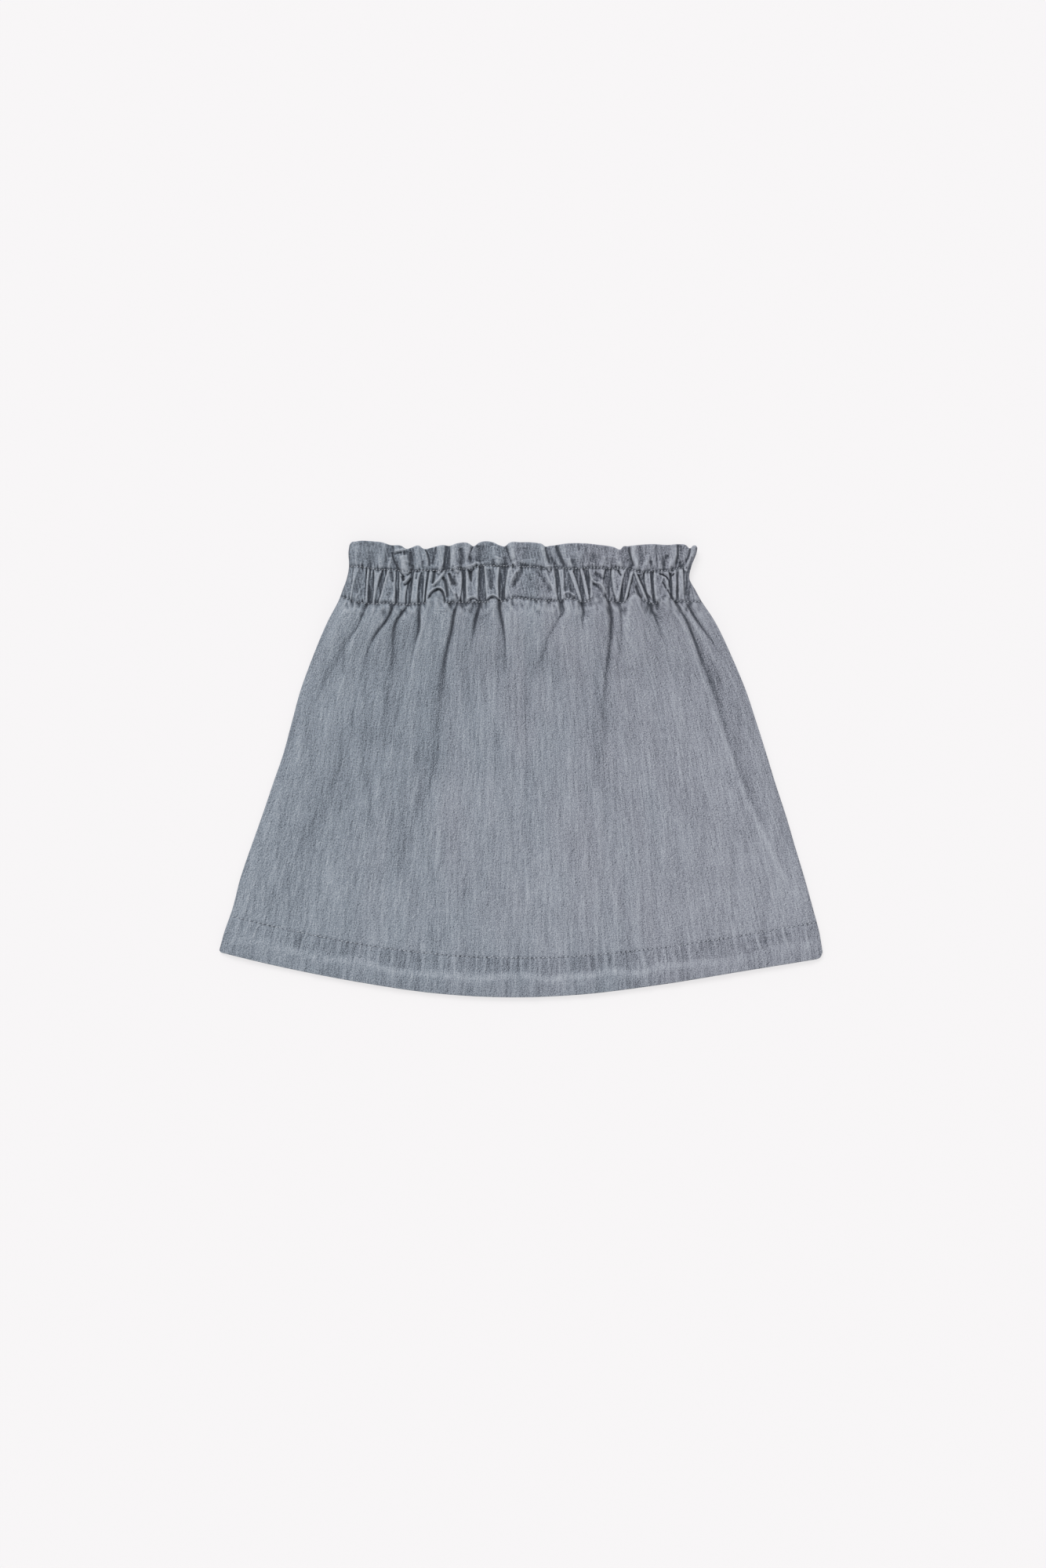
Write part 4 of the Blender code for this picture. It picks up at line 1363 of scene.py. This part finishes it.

# %% [markdown]
# ## Washing, wear and painted shade
#
# Washing bleaches what stands out and leaves the dye in the grooves, and painted shade darkens
# the grooves further. An attribute holds both the wear and the painted shade. It is positive on
# crests, and negative in grooves, in the painted shade of the valleys, and in painted shade along
# stitching and just under the lower row. Most of it comes from the heights: a point that stands
# above its surroundings is a crest. The hem gets a dark band under its stitching and a bleached
# line where the turned-in edge lies inside, and a table adds broad painted light and shade,
# places painted paler or darker than the rest.

# %% Wear of the hem
HEM_DARK = 0.40
HEM_DARK_FROM = -190.0
HEM_DARK_AT_END = 0.35
DARK_START = 0.9
DARK_STOPS_BEFORE = 1.4
DARK_FADE = 3.0
ROPES_PALER = 0.9
HEM_WORN = 0.46
HEM_WORN_FROM = -185.0
HEM_WORN_TO = 150.0
HEM_WORN_REACH = 1.7
HEM_LOW = 0.20
LOW_STARTS_AFTER = 1.5
LOW_FADE = 2.5
CORNER_FADE = 50.0
WORN_CORNER_FADE = 60.0
EDGE_WANDERS = Pucker(10, 60.0, 0.8)
EDGE_UNEVEN = Pucker(11, 5.0, 1.0)
BAND_UNEVEN = Pucker(12, 40.0, 0.10)


def hem_wear(x, y):
    """Dark under the hem's stitching, bleached along the folded edge and dark again below."""
    below, across = hem_band(x, y)
    edge = FOLDED_EDGE + puckered(across, EDGE_WANDERS)
    uneven = puckered(across, EDGE_UNEVEN)
    broad = puckered(across, BAND_UNEVEN)
    off_ropes = np.clip(1.0 + 0.18 * uneven + broad - ROPES_PALER * roped(across), 0.1, 1.5)
    dark = ease(below / DARK_START) * ease((edge - DARK_STOPS_BEFORE - below) / DARK_FADE)
    dark = dark * off_ropes * lerp(HEM_DARK_AT_END, 1.0, ease((x - HEM_DARK_FROM) / CORNER_FADE))
    worn = near_row(below, edge, HEM_WORN_REACH) * np.clip(0.8 + 0.25 * uneven, 0.3, 1.3)
    worn = worn * ease((HEM_WORN_TO - x) / CORNER_FADE)
    worn = worn * ease((x - HEM_WORN_FROM) / WORN_CORNER_FADE)
    low = ease((below - edge - LOW_STARTS_AFTER) / LOW_FADE) * np.clip(0.6 + 0.5 * uneven, 0.0, 1.2)
    return HEM_WORN * worn - HEM_DARK * dark - HEM_LOW * low


band_xs = np.full(2, 20.0)
band_wear = hem_wear(band_xs, hem_row(band_xs) - np.array([6.0, FOLDED_EDGE]))
print("wear in the hem's band and at its folded edge:", band_wear.round(2))

# %% Wear and painted shade of the front
def wear_and_shade_of(height, sizes):
    """Bleached crests, and grooves darkened by kept dye and by painted shade, from how far each
    point stands above its surroundings.

    sizes gives, for each breadth of surroundings in cells, how strongly it counts.
    """
    total = np.zeros_like(height)
    for cells, strength in sizes:
        total += strength * (height - blurred(height, cells))
    return total


VALLEY_DYE_AND_SHADE = 0.76
VALLEY_BROAD_SHADE = 0.26
SHADE_SPREAD = 3.4
PIT_SHADE = 0.58
PIT_SHADE_MIDDLING = 0.5
PIT_SHADE_MOST = 1.6
PIT_SHADE_HIGH = 4.2
PIT_SHADE_FADE = 3.4
PIT_SHADE_VARY = Pucker(13, 3.4, 0.8)
ROW_SHADE = 0.4
ROW_SHADE_REACH = 0.6
HEM_ROW_SHADE = 0.12
HEM_ROW_REACH = 0.7
EDGE_WORN_REACH = 0.8
FRILL_EDGE_WORN = 0.3
HEM_EDGE_WORN = 0.25
FRILL_CALM = 0.8
BROAD_ON_CASING = 0.50
BROAD_ON_FRILL = 0.78
Patch = namedtuple("Patch", "x y across along tone")
LIGHT_AND_SHADE_PATCHES = [
    Patch(-30, 104, 9, 9, -0.55),
    Patch(-32, 76, 12, 26, -0.20),
    Patch(54, 98, 8, 14, -0.35),
    Patch(50, 34, 9, 40, -0.26),
    Patch(90, 103, 10, 8, -0.35),
    Patch(-72, 66, 4.5, 14, 0.45),
    Patch(-106.5, 72, 4.5, 12, 0.32),
    Patch(-98, 26, 8, 22, -0.28),
    Patch(-86, 94, 5, 18, -0.30),
    Patch(8, 90, 8, 16, 0.24),
    Patch(-2, 34, 10, 18, -0.24),
    Patch(131, 8, 6, 16, 0.35),
    Patch(162, -46, 8, 24, 0.34),
    Patch(177, -86, 9, 20, 0.36),
    Patch(26, -80, 26, 22, 0.26),
    Patch(-160, -84, 9, 7, -0.30),
    Patch(-124, -72, 8, 12, 0.30),
    Patch(148, 30, 5, 22, -0.20),
]


def painted_light_and_shade(x, y):
    """Broad painted light and shade on the body: places painted paler or darker than the rest."""
    parts = [
        row.tone * np.exp(-(((x - row.x) / row.across) ** 2) - ((y - row.y) / row.along) ** 2)
        for row in LIGHT_AND_SHADE_PATCHES
    ]
    return np.sum(parts, axis=0)


def lower_row_shade(x, y):
    """Where painted shade lies along the lower row of stitching: 1 at the row where it is in sight."""
    return near_row(y, lower_row(x), ROW_SHADE_REACH) * row_shows(x)


def make_front_waist(x, y):
    height = front_height(x, y)
    calm = lerp(1.0, FRILL_CALM, on_frill(x, y))
    broad = lerp(BROAD_ON_FRILL, BROAD_ON_CASING, calm)
    # Crests bleached by wear, grooves darkened by dye and by painted shade.
    wear_and_shade = calm * wear_and_shade_of(height, [(1, 0.5), (3, 0.5)]) + broad * wear_and_shade_of(height, [(12, 1.0)])
    wear_and_shade = np.clip(wear_and_shade, -1.0, 0.9)
    # Painted shade along both rows of stitching, where the cloth is pinched into a groove.
    upper_row_shade = near_row(y, upper_row(x), ROW_SHADE_REACH)
    wear_and_shade -= ROW_SHADE * np.maximum(upper_row_shade, lower_row_shade(x, y))
    wear_and_shade += FRILL_EDGE_WORN * near_row(y, frill_edge(x), EDGE_WORN_REACH)
    outer = front_level(x, y) + height
    return shell("front_waist", WAIST_US, x, y, outer, DOUBLED_CLOTH, wear_and_shade, "last")


def make_front_body(x, y):
    height = front_height(x, y)
    wear_and_shade = np.clip(wear_and_shade_of(height, [(2, 0.8), (8, 0.42)]), -0.8, 0.8)
    # Broad painted light and shade, and the hem's wear.
    wear_and_shade += painted_light_and_shade(x, y) + hem_wear(x, y)
    # The valleys are darkened with kept dye and painted shade, and a broader painted shade lies beside
    # each crease.
    wear_and_shade -= VALLEY_DYE_AND_SHADE * valleyed(x, y) + VALLEY_BROAD_SHADE * valleyed(x, y, SHADE_SPREAD)
    # Painted shade along the lower row and in the hem's stitched furrow.
    wear_and_shade -= ROW_SHADE * lower_row_shade(x, y) + HEM_ROW_SHADE * near_row(y, hem_row(x), HEM_ROW_REACH)
    # Painted shade in a band of pits just under the lower row, between the tops of the folds.
    pit_shade = PIT_SHADE * np.clip(PIT_SHADE_MIDDLING + puckered(x, PIT_SHADE_VARY), 0.0, PIT_SHADE_MOST)
    wear_and_shade -= pit_shade * ease((y - lower_row(x) + PIT_SHADE_HIGH) / PIT_SHADE_FADE) * row_shows(x)
    wear_and_shade += HEM_EDGE_WORN * near_row(y, hem_edge(x), EDGE_WORN_REACH)
    outer = front_level(x, y) + height
    return shell("front_body", BODY_US, x, y, outer, CLOTH, wear_and_shade, "first")


front_waist_piece = make_front_waist(*waist_grid)
front_body_piece = make_front_body(*body_grid)

# %% [markdown]
# ## The back
#
# The back panel is the same cloth with gathers of its own. Its crests rest on the table, so
# they are pressed flat, and only the grooves between them rise clear of it.

# %% Fold and lay the back
Gather = namedtuple("Gather", "top foot left right spread")
BACK_GATHERS = [
    Gather(-104, -107, 5.6, 6.4, 1.2),
    Gather(-89, -91, 6, 5, 1),
    Gather(-75, -75.5, 5.6, 6.6, 1),
    Gather(-61.5, -62, 5, 5, 1),
    Gather(-48, -47, 6.5, 5.4, 1),
    Gather(-33, -34, 6, 6, 1),
    Gather(-17, -17, 6.6, 7.5, 1),
    Gather(-1, 0.5, 5.6, 5, 1),
    Gather(13, 14, 6, 5.2, 1),
    Gather(28, 28, 6.2, 7, 1),
    Gather(44, 43, 6.5, 5.6, 1),
    Gather(58, 59, 5, 5.5, 1),
    Gather(72, 72.5, 6.5, 5.6, 1),
    Gather(87, 89, 6, 6, 1),
    Gather(101, 105, 5.4, 6.5, 1.2),
]
BACK_RISE = 2.4
BACK_PRESSED = 1.15
BACK_SHARPNESS = 2.2
BACK_JOIN = 4
BACK_HELD = 0.35
BACK_US = crowded(200, 0.08)
BACK_FRILL_ROWS = 24
BACK_CASING_ROWS = 32
BACK_BODY_ROWS = 74
BACK_HEM_ROWS = 18
BACK_CROWD = 0.4
BACK_INSET = 0.9
BACK_EDGE_WAVES = Pucker(5, 14.0, 0.5)


def level_line(y):
    """A straight line across the skirt."""
    return lambda x: y + 0.0 * x


def back_frill_edge(x):
    """The back's frill ends a little below the front's, so that it doesn't show over it."""
    return edge_y(x, FRILL_EDGE) - BACK_INSET + puckered(x, BACK_EDGE_WAVES)


def gathered(x, s):
    """0 in the grooves of the back and 1 on its crests."""
    total = np.zeros_like(x)
    for row in BACK_GATHERS:
        middle = lerp(row.top, row.foot, s)
        reach = np.where(x < middle, row.left, row.right) * lerp(1.0, row.spread, s)
        crest = np.clip(1.0 - np.abs((x - middle) / reach) ** BACK_SHARPNESS, 0.0, None)
        total += crest**BACK_JOIN
    return total ** (1.0 / BACK_JOIN)


def back_hollow(x, y):
    """How far the back's outer side is off the table."""
    s = np.clip((FRILL_TOP - y) / (FRILL_TOP - RISE_FOOT), 0.0, 1.0)
    crests = gathered(x, s) * inside_seams(x, y, SEAM_REACH)
    pressed = np.clip(BACK_PRESSED * crests, 0.0, 1.0)
    held = BACK_HELD * np.maximum(near_row(y, UPPER_ROW), near_row(y, LOWER_ROW))
    return BACK_RISE * rise(y) * np.clip(1.0 - pressed + held, 0.0, 1.0)


def make_back_waist():
    lines = [back_frill_edge, level_line(UPPER_ROW), level_line(LOWER_ROW)]
    x, y = stacked(BACK_US, lines, [BACK_FRILL_ROWS, BACK_CASING_ROWS], WAIST_CROWD)
    hollow = back_hollow(x, y)
    # Grooves darkened by dye and painted shade, and painted shade along both rows of stitching.
    wear_and_shade = np.clip(wear_and_shade_of(-hollow, [(5, 0.7)]), -1.0, 1.0)
    wear_and_shade -= 0.7 * np.maximum(near_row(y, UPPER_ROW, 0.7), near_row(y, LOWER_ROW, 0.8))
    return shell("back_waist", BACK_US, x, y, hollow, DOUBLED_CLOTH, wear_and_shade, "last", -1.0)


def make_back_body():
    lines = [level_line(LOWER_ROW), hem_row, hem_edge]
    x, y = stacked(BACK_US, lines, [BACK_BODY_ROWS, BACK_HEM_ROWS], BACK_CROWD)
    hollow = back_hollow(x, y) + HEM_FURROW * near_row(y, hem_row(x), 1.0)
    # Grooves darkened by dye and painted shade, and painted shade along the hem's row of stitching.
    wear_and_shade = np.clip(wear_and_shade_of(-hollow, [(5, 0.6)]), -1.0, 1.0)
    wear_and_shade -= 0.6 * near_row(y, hem_row(x), 0.7)
    return shell("back_body", BACK_US, x, y, hollow, CLOTH, wear_and_shade, "first", -1.0)


back_waist_piece = make_back_waist()
back_body_piece = make_back_body()

# %% [markdown]
# ## Shader maths
#
# A material's nodes are easier to read as sums. The class below wraps one output socket,
# and its operators add Math nodes. Every other node comes from its "node" method.

# %% A wire between nodes
class Wire:
    """One output of a material's nodes."""

    tree = None

    def __init__(self, socket):
        self.socket = socket

    @classmethod
    def node(cls, kind, settings=None, values=None, output=0):
        """Adds a node, makes its settings, fills its sockets and gives one of its outputs."""
        made = cls.tree.nodes.new(kind)
        for name, value in (settings or {}).items():
            setattr(made, name, value)
        for name, value in (values or {}).items():
            if isinstance(value, Wire):
                cls.tree.links.new(value.socket, made.inputs[name])
            else:
                made.inputs[name].default_value = value
        return cls(made.outputs[output])

    def maths(self, operation, first, second):
        return Wire.node("ShaderNodeMath", {"operation": operation}, {0: first, 1: second})

    def __add__(self, other):
        return self.maths("ADD", self, other)

    def __sub__(self, other):
        return self.maths("SUBTRACT", self, other)

    def __rsub__(self, other):
        return self.maths("SUBTRACT", other, self)

    def __mul__(self, other):
        return self.maths("MULTIPLY", self, other)

    def at_least(self, other):
        return self.maths("MAXIMUM", self, other)

    def at_most(self, other):
        return self.maths("MINIMUM", self, other)

    __radd__ = __add__
    __rmul__ = __mul__


def mixed(first, second, share):
    """A colour between two others."""
    return Wire.node("ShaderNodeMix", {"data_type": "RGBA"}, {0: share, 6: first, 7: second}, 2)


def between(value, low, high):
    """0 where the value is low and 1 where it is high, smoothly."""
    settings = {"interpolation_type": "SMOOTHSTEP"}
    values = {"Value": value, "From Min": low, "From Max": high}
    return Wire.node("ShaderNodeMapRange", settings, values)


print("a wire can be added, subtracted, multiplied, and held at least or at most at a value")

# %% [markdown]
# ## Washed chambray
#
# Chambray denim has dyed yarns along its length and white ones across. The dyed yarns are
# uneven, so pale and dark slubs run down the cloth, and its twill is a fine slanting grain.
# Washing bleaches the crests and leaves the grooves dark. A fine noise turned to the twill's
# slant makes the grain, noises stretched along the yarns make the slubs, and the attribute of
# wear and painted shade does the washing and paints the shade of grooves, valleys and rows. The
# waist's material is a darker copy of the body's: its whole ground is darkened as painted shade
# for its deep gathers. The cloth's tint drifts a little from side to side.

# %% The chambray's material
# DARK is the colour that dark yarns, kept dye and the painted shade of grooves go towards, and PALE
# that of pale yarns and bleached crests.
DARK = (0.040, 0.047, 0.062, 1.0)
PALE = (0.475, 0.505, 0.550, 1.0)
TEAL = (0.240, 0.275, 0.323, 1.0)
VIOLET = (0.274, 0.287, 0.336, 1.0)
WEAVE_MM = 0.48
TWILL_ANGLE = 0.75
YARN_SHARE = 0.26
GRAIN_TONE = 0.70
SLUB_TONE = 0.33
PALE_YARN_TONE = 0.2
PATCH_TONE = 0.09
TINT_WIDTH = 130.0
DARKEST = 0.94
BUMP_HEIGHT = 0.00015


def spots(cloth, across, along, detail=2.0):
    """Noise whose spots are about 'across' mm wide and 'along' mm long, from -1 to 1 or so."""
    stretched = Wire.node(
        "ShaderNodeVectorMath",
        {"operation": "MULTIPLY"},
        {0: cloth, 1: (1.0 / across, 1.0 / along, 1.0)},
    )
    values = {"Vector": stretched, "Scale": 1.0, "Detail": detail, "Roughness": 0.55}
    return Wire.node("ShaderNodeTexNoise", {"noise_dimensions": "2D"}, values) * 4.0 - 2.0


def coordinates(name):
    """A UV map of the piece in millimetres."""
    uv = Wire.node("ShaderNodeUVMap", {"uv_map": name})
    return Wire.node("ShaderNodeVectorMath", {"operation": "SCALE"}, {0: uv, "Scale": 1.0 / MM})


def chambray(name, depth, painted_shade, streaks):
    """The cloth's material.

    depth says how much the crests and grooves differ in wear and painted shade, and the value
    after it how much the whole cloth is darkened, from 0, which is painted shade for the gathers
    of the waist; streaks says how strongly single yarns show.
    """
    material = bpy.data.materials.new(name)
    material.use_nodes = True
    Wire.tree = material.node_tree
    shader = material.node_tree.nodes["Principled BSDF"]
    yarns = coordinates("yarns")
    weave = coordinates("weave")
    turned = {"Vector": weave, "Angle": TWILL_ANGLE}
    slanted = Wire.node("ShaderNodeVectorRotate", {"rotation_type": "Z_AXIS"}, turned)
    wear_and_shade = Wire.node("ShaderNodeAttribute", {"attribute_name": "wear_and_shade"}, {}, 2)

    grain = spots(slanted, WEAVE_MM, 2.0 * WEAVE_MM, 1.0)
    grain = grain + spots(yarns, 0.7, 4.0, 1.0) * (YARN_SHARE * streaks)
    slubs = (spots(yarns, 2.4, 34.0) * 0.5 + spots(yarns, 1.1, 13.0) * 0.5) * streaks
    pale_yarns = between(spots(yarns, 0.8, 24.0, 0.0), 0.75, 1.3)
    patches = spots(yarns, 22.0, 55.0)
    drift = spots(yarns, 34.0, 110.0)

    tone = grain * GRAIN_TONE + slubs * SLUB_TONE + pale_yarns * (PALE_YARN_TONE * streaks)
    # The attribute adds wear and painted shade, and the last term darkens the whole cloth as painted
    # shade.
    tone = tone + patches * PATCH_TONE + wear_and_shade * depth - painted_shade
    across = Wire.node("ShaderNodeSeparateXYZ", {}, {0: yarns}, 0)
    ground = mixed(TEAL, VIOLET, between(drift * 0.5 + across * (1.0 / TINT_WIDTH), -0.9, 0.9))
    colour = mixed(ground, PALE, (tone * 0.8).at_least(0.0).at_most(1.0))
    colour = mixed(colour, DARK, (tone * -0.9).at_least(0.0).at_most(DARKEST))
    Wire.tree.links.new(colour.socket, shader.inputs["Base Color"])

    values = {"Strength": 0.3, "Distance": BUMP_HEIGHT, "Height": grain + slubs * 0.5}
    bump = Wire.node("ShaderNodeBump", {}, values)
    Wire.tree.links.new(bump.socket, shader.inputs["Normal"])
    shader.inputs["Roughness"].default_value = 0.92
    shader.inputs["Specular IOR Level"].default_value = 0.2
    shader.inputs["Sheen Weight"].default_value = 0.12
    shader.inputs["Sheen Roughness"].default_value = 0.6
    return material


body_cloth = chambray("chambray_body", depth=0.68, painted_shade=0.0, streaks=1.1)
# The waist's cloth is the body's made darker, as painted shade in its gathers.
shaded_waist_cloth = chambray("chambray_waist_shaded", depth=1.03, painted_shade=0.30, streaks=0.3)
for piece, material in (
    (front_waist_piece, shaded_waist_cloth),
    (back_waist_piece, shaded_waist_cloth),
    (front_body_piece, body_cloth),
    (back_body_piece, body_cloth),
):
    piece.data.materials.append(material)
print(len(body_cloth.node_tree.nodes), "nodes in the chambray")

# %% [markdown]
# ## Stitching
#
# The rows of lockstitch are hundreds of short threads at an even pitch, so a small tree of
# Geometry Nodes sets them: it cuts a path into stitch lengths, puts a thread on each point
# and turns it along the path. Between the threads it sets a dark ball, painted shade in the
# needle hole. The paths lie on the cloth, so they are read from the same height functions.

# %% The thread's material
THREAD_PALE = (0.50, 0.53, 0.58, 1.0)
THREAD_DARK = (0.25, 0.27, 0.32, 1.0)
# The needle holes are dark balls of painted shade, where the thread sinks into the cloth.
HOLE_SHADE_PALE = (0.075, 0.085, 0.105, 1.0)
HOLE_SHADE_DARK = (0.030, 0.035, 0.045, 1.0)


def twisted(name, dark, pale):
    """A material of two colours that change along a twisted thread."""
    material = bpy.data.materials.new(name)
    material.use_nodes = True
    Wire.tree = material.node_tree
    shader = material.node_tree.nodes["Principled BSDF"]
    place = Wire.node("ShaderNodeTexCoord", {}, {}, 3)
    twist = Wire.node("ShaderNodeTexNoise", {}, {"Vector": place, "Scale": 900.0, "Detail": 1.0})
    colour = mixed(dark, pale, between(twist, 0.3, 0.6))
    Wire.tree.links.new(colour.socket, shader.inputs["Base Color"])
    shader.inputs["Roughness"].default_value = 0.7
    return material


thread = twisted("thread", THREAD_DARK, THREAD_PALE)
# The dark balls of painted shade in the needle holes.
hole_shade = twisted("needle_hole_shade", HOLE_SHADE_DARK, HOLE_SHADE_PALE)
print("materials of the stitching:", thread.name, hole_shade.name)

# %% Geometry Nodes for a row of stitches
WAIST_PITCH = 2.45
HEM_PITCH = 3.0
THREAD_SHARE = 0.70
THREAD_WIDTH = 0.52
SLANT = 0.32
SLANT_LEAST = 0.55
SLANT_MOST = 1.3
SLANT_SEED = 11
HOLE_LENGTH = 0.85
HOLE_WIDTH = 0.75
HOLE_DEPTH = 0.5
BALL_SEGMENTS = 7
BALL_RINGS = 5


def stitch_tree():
    """Path in, stitches out. Sizes are in metres and the slant in radians."""
    tree = bpy.data.node_groups.new("stitches", "GeometryNodeTree")
    face = tree.interface
    face.new_socket("Path", in_out="INPUT", socket_type="NodeSocketGeometry")
    for name in ("Pitch", "Length", "Width", "Slant", "Hole"):
        face.new_socket(name, in_out="INPUT", socket_type="NodeSocketFloat")
    face.new_socket("Stitches", in_out="OUTPUT", socket_type="NodeSocketGeometry")

    def add(kind, settings=None, values=None):
        made = tree.nodes.new(kind)
        for name, value in (settings or {}).items():
            setattr(made, name, value)
        for name, value in (values or {}).items():
            if hasattr(value, "is_output"):
                tree.links.new(value, made.inputs[name])
            else:
                made.inputs[name].default_value = value
        return made

    def copies(points, turned, size, material):
        """Balls of one size on the points, of one material."""
        ball_size = {"Segments": BALL_SEGMENTS, "Rings": BALL_RINGS, "Radius": 0.5}
        ball = add("GeometryNodeMeshUVSphere", {}, ball_size)
        values = {"Points": points, "Instance": ball.outputs[0], "Rotation": turned, "Scale": size}
        placed = add("GeometryNodeInstanceOnPoints", {}, values)
        real = add("GeometryNodeRealizeInstances", {}, {0: placed.outputs[0]})
        smooth = add("GeometryNodeSetShadeSmooth", {}, {0: real.outputs[0]})
        values = {0: smooth.outputs[0], "Material": material}
        return add("GeometryNodeSetMaterial", {}, values).outputs[0]

    inputs = add("NodeGroupInput").outputs
    line = add("GeometryNodeMeshToCurve", {}, {"Mesh": inputs["Path"]})
    along = {"Curve": line.outputs[0], "Length": inputs["Pitch"]}
    points = add("GeometryNodeCurveToPoints", {"mode": "LENGTH"}, along).outputs
    thread_size = {"X": inputs["Length"], "Y": inputs["Width"], "Z": inputs["Width"]}
    threads = add("ShaderNodeCombineXYZ", {}, thread_size).outputs[0]
    hole_size = {0: (HOLE_LENGTH, HOLE_WIDTH, HOLE_DEPTH), "Scale": inputs["Hole"]}
    holes = add("ShaderNodeVectorMath", {"operation": "SCALE"}, hole_size).outputs[0]
    ahead = add("FunctionNodeAlignRotationToVector", {"axis": "X"}, {"Vector": points["Tangent"]})
    values = {"Min": SLANT_LEAST, "Max": SLANT_MOST, "Seed": SLANT_SEED}
    wobble = add("FunctionNodeRandomValue", {"data_type": "FLOAT"}, values).outputs[1]
    turn = add("ShaderNodeMath", {"operation": "MULTIPLY"}, {0: inputs["Slant"], 1: wobble})
    slant = add("ShaderNodeCombineXYZ", {}, {"Z": turn.outputs[0]})
    values = {0: ahead.outputs[0], 1: slant.outputs[0]}
    turned = add("FunctionNodeRotateRotation", {"rotation_space": "LOCAL"}, values).outputs[0]
    half = add("ShaderNodeMath", {"operation": "MULTIPLY"}, {0: inputs["Pitch"], 1: 0.5}).outputs[0]
    values = {0: points["Tangent"], "Scale": half}
    step = add("ShaderNodeVectorMath", {"operation": "SCALE"}, values).outputs[0]
    values = {0: points["Points"], "Offset": step}
    between_threads = add("GeometryNodeSetPosition", {}, values).outputs[0]
    both = add("GeometryNodeJoinGeometry")
    tree.links.new(copies(points["Points"], turned, threads, thread), both.inputs[0])
    # Dark balls of painted shade in the needle holes between the threads.
    tree.links.new(copies(between_threads, turned, holes, hole_shade), both.inputs[0])
    add("NodeGroupOutput", {}, {0: both.outputs[0]})
    return tree


STITCHES = stitch_tree()
print(len(STITCHES.nodes), "nodes in the stitch tree")

# %% [markdown]
# ## Rows over the cloth
#
# Each row is a line of points over the cloth, from seam to seam. Where the top of a fold
# stands up over the lower row, the line is cut, because the fold covers the stitches.

# %% Sew the rows
SEAM_INSET = 2.0
ROW_POINTS = 900
BEYOND_SIDES = 195.0
FRONT_LIFT = 0.2
BACK_LIFT = 0.3
HIDDEN_FROM = 0.8
SHORTEST_PART = 6


def path_mesh(name, lines):
    """Several lines of points in millimetres as one mesh of edges."""
    points, edges = [], []
    for line in lines:
        first = len(points)
        points += [tuple(point) for point in line * MM]
        edges += [(first + k, first + k + 1) for k in range(len(line) - 1)]
    mesh = bpy.data.meshes.new(name)
    mesh.from_pydata(points, edges, [])
    return mesh


def sew(name, lines, pitch, hole):
    """Stitches along lines, as one plain mesh. hole scales the dark balls of painted shade in
    the needle holes between the threads.
    """
    carrier = bpy.data.objects.new(name, path_mesh(name, lines))
    bpy.context.scene.collection.objects.link(carrier)
    modifier = carrier.modifiers.new("stitches", "NODES")
    modifier.node_group = STITCHES
    lengths = {"Pitch": pitch, "Length": THREAD_SHARE * pitch, "Width": THREAD_WIDTH, "Hole": hole}
    sizes = {"Slant": SLANT, **{key: length * MM for key, length in lengths.items()}}
    for item in STITCHES.interface.items_tree:
        if item.name in sizes:
            modifier[item.identifier] = sizes[item.name]
    graph = bpy.context.evaluated_depsgraph_get()
    mesh = bpy.data.meshes.new_from_object(carrier.evaluated_get(graph))
    carrier.modifiers.clear()
    carrier.data = mesh
    print(f"{name}: {len(mesh.polygons)} faces")
    return carrier


def across_skirt(line):
    """Points along a line from seam to seam."""
    left_y, right_y = line(np.array([-BEYOND_SIDES, BEYOND_SIDES]))
    left = side_x(left_y, "left") + SEAM_INSET
    right = side_x(right_y, "right") - SEAM_INSET
    x = np.linspace(left, right, ROW_POINTS)
    return x, line(x)


def front_row(line):
    """A row of stitching over the front's folds."""
    x, y = across_skirt(line)
    z = front_level(x, y) + front_height(x, y) + FRONT_LIFT * THREAD_WIDTH
    return np.stack([x, y, z], axis=-1)


def back_row(line):
    """A row of stitching under the back's folds."""
    x, y = across_skirt(line)
    return np.stack([x, y, back_hollow(x, y) + BACK_LIFT * THREAD_WIDTH], axis=-1)


def in_sight(points):
    """The parts of a row that no fold of the body covers."""
    seen = poke(points[:, 0]) < HIDDEN_FROM
    cuts = np.flatnonzero(np.diff(seen.astype(int))) + 1
    parts = zip(np.split(points, cuts), np.split(seen, cuts))
    return [part for part, shown in parts if shown[0] and len(part) > SHORTEST_PART]


waist_lines = [front_row(upper_row), *in_sight(front_row(lower_row))]
back_lines = [back_row(line) for line in (level_line(UPPER_ROW), level_line(LOWER_ROW), hem_row)]
front_stitches = sew("front_stitching", waist_lines, WAIST_PITCH, 1.0)
hem_stitches = sew("hem_stitching", [front_row(hem_row)], HEM_PITCH, 0.95)
back_stitches = sew("back_stitching", back_lines, WAIST_PITCH, 0.8)

# %% [markdown]
# ## Fasten
#
# The skirt has no joints, so every piece rides on one body. Each shell stands for the solid
# pieces under it, which are hidden.

for piece, nodes, slot in (
    (front_waist_piece, ("waist_casing_front", "frill_front"), "chambray_casing"),
    (back_waist_piece, ("waist_casing_back", "frill_back"), "chambray_casing"),
    (front_body_piece, ("skirt_front", "hem_front"), "chambray_body"),
    (back_body_piece, ("skirt_back", "hem_back"), "chambray_body"),
):
    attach(piece, "root")
    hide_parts(*nodes)
for piece in (front_stitches, hem_stitches, back_stitches):
    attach(piece, "root")
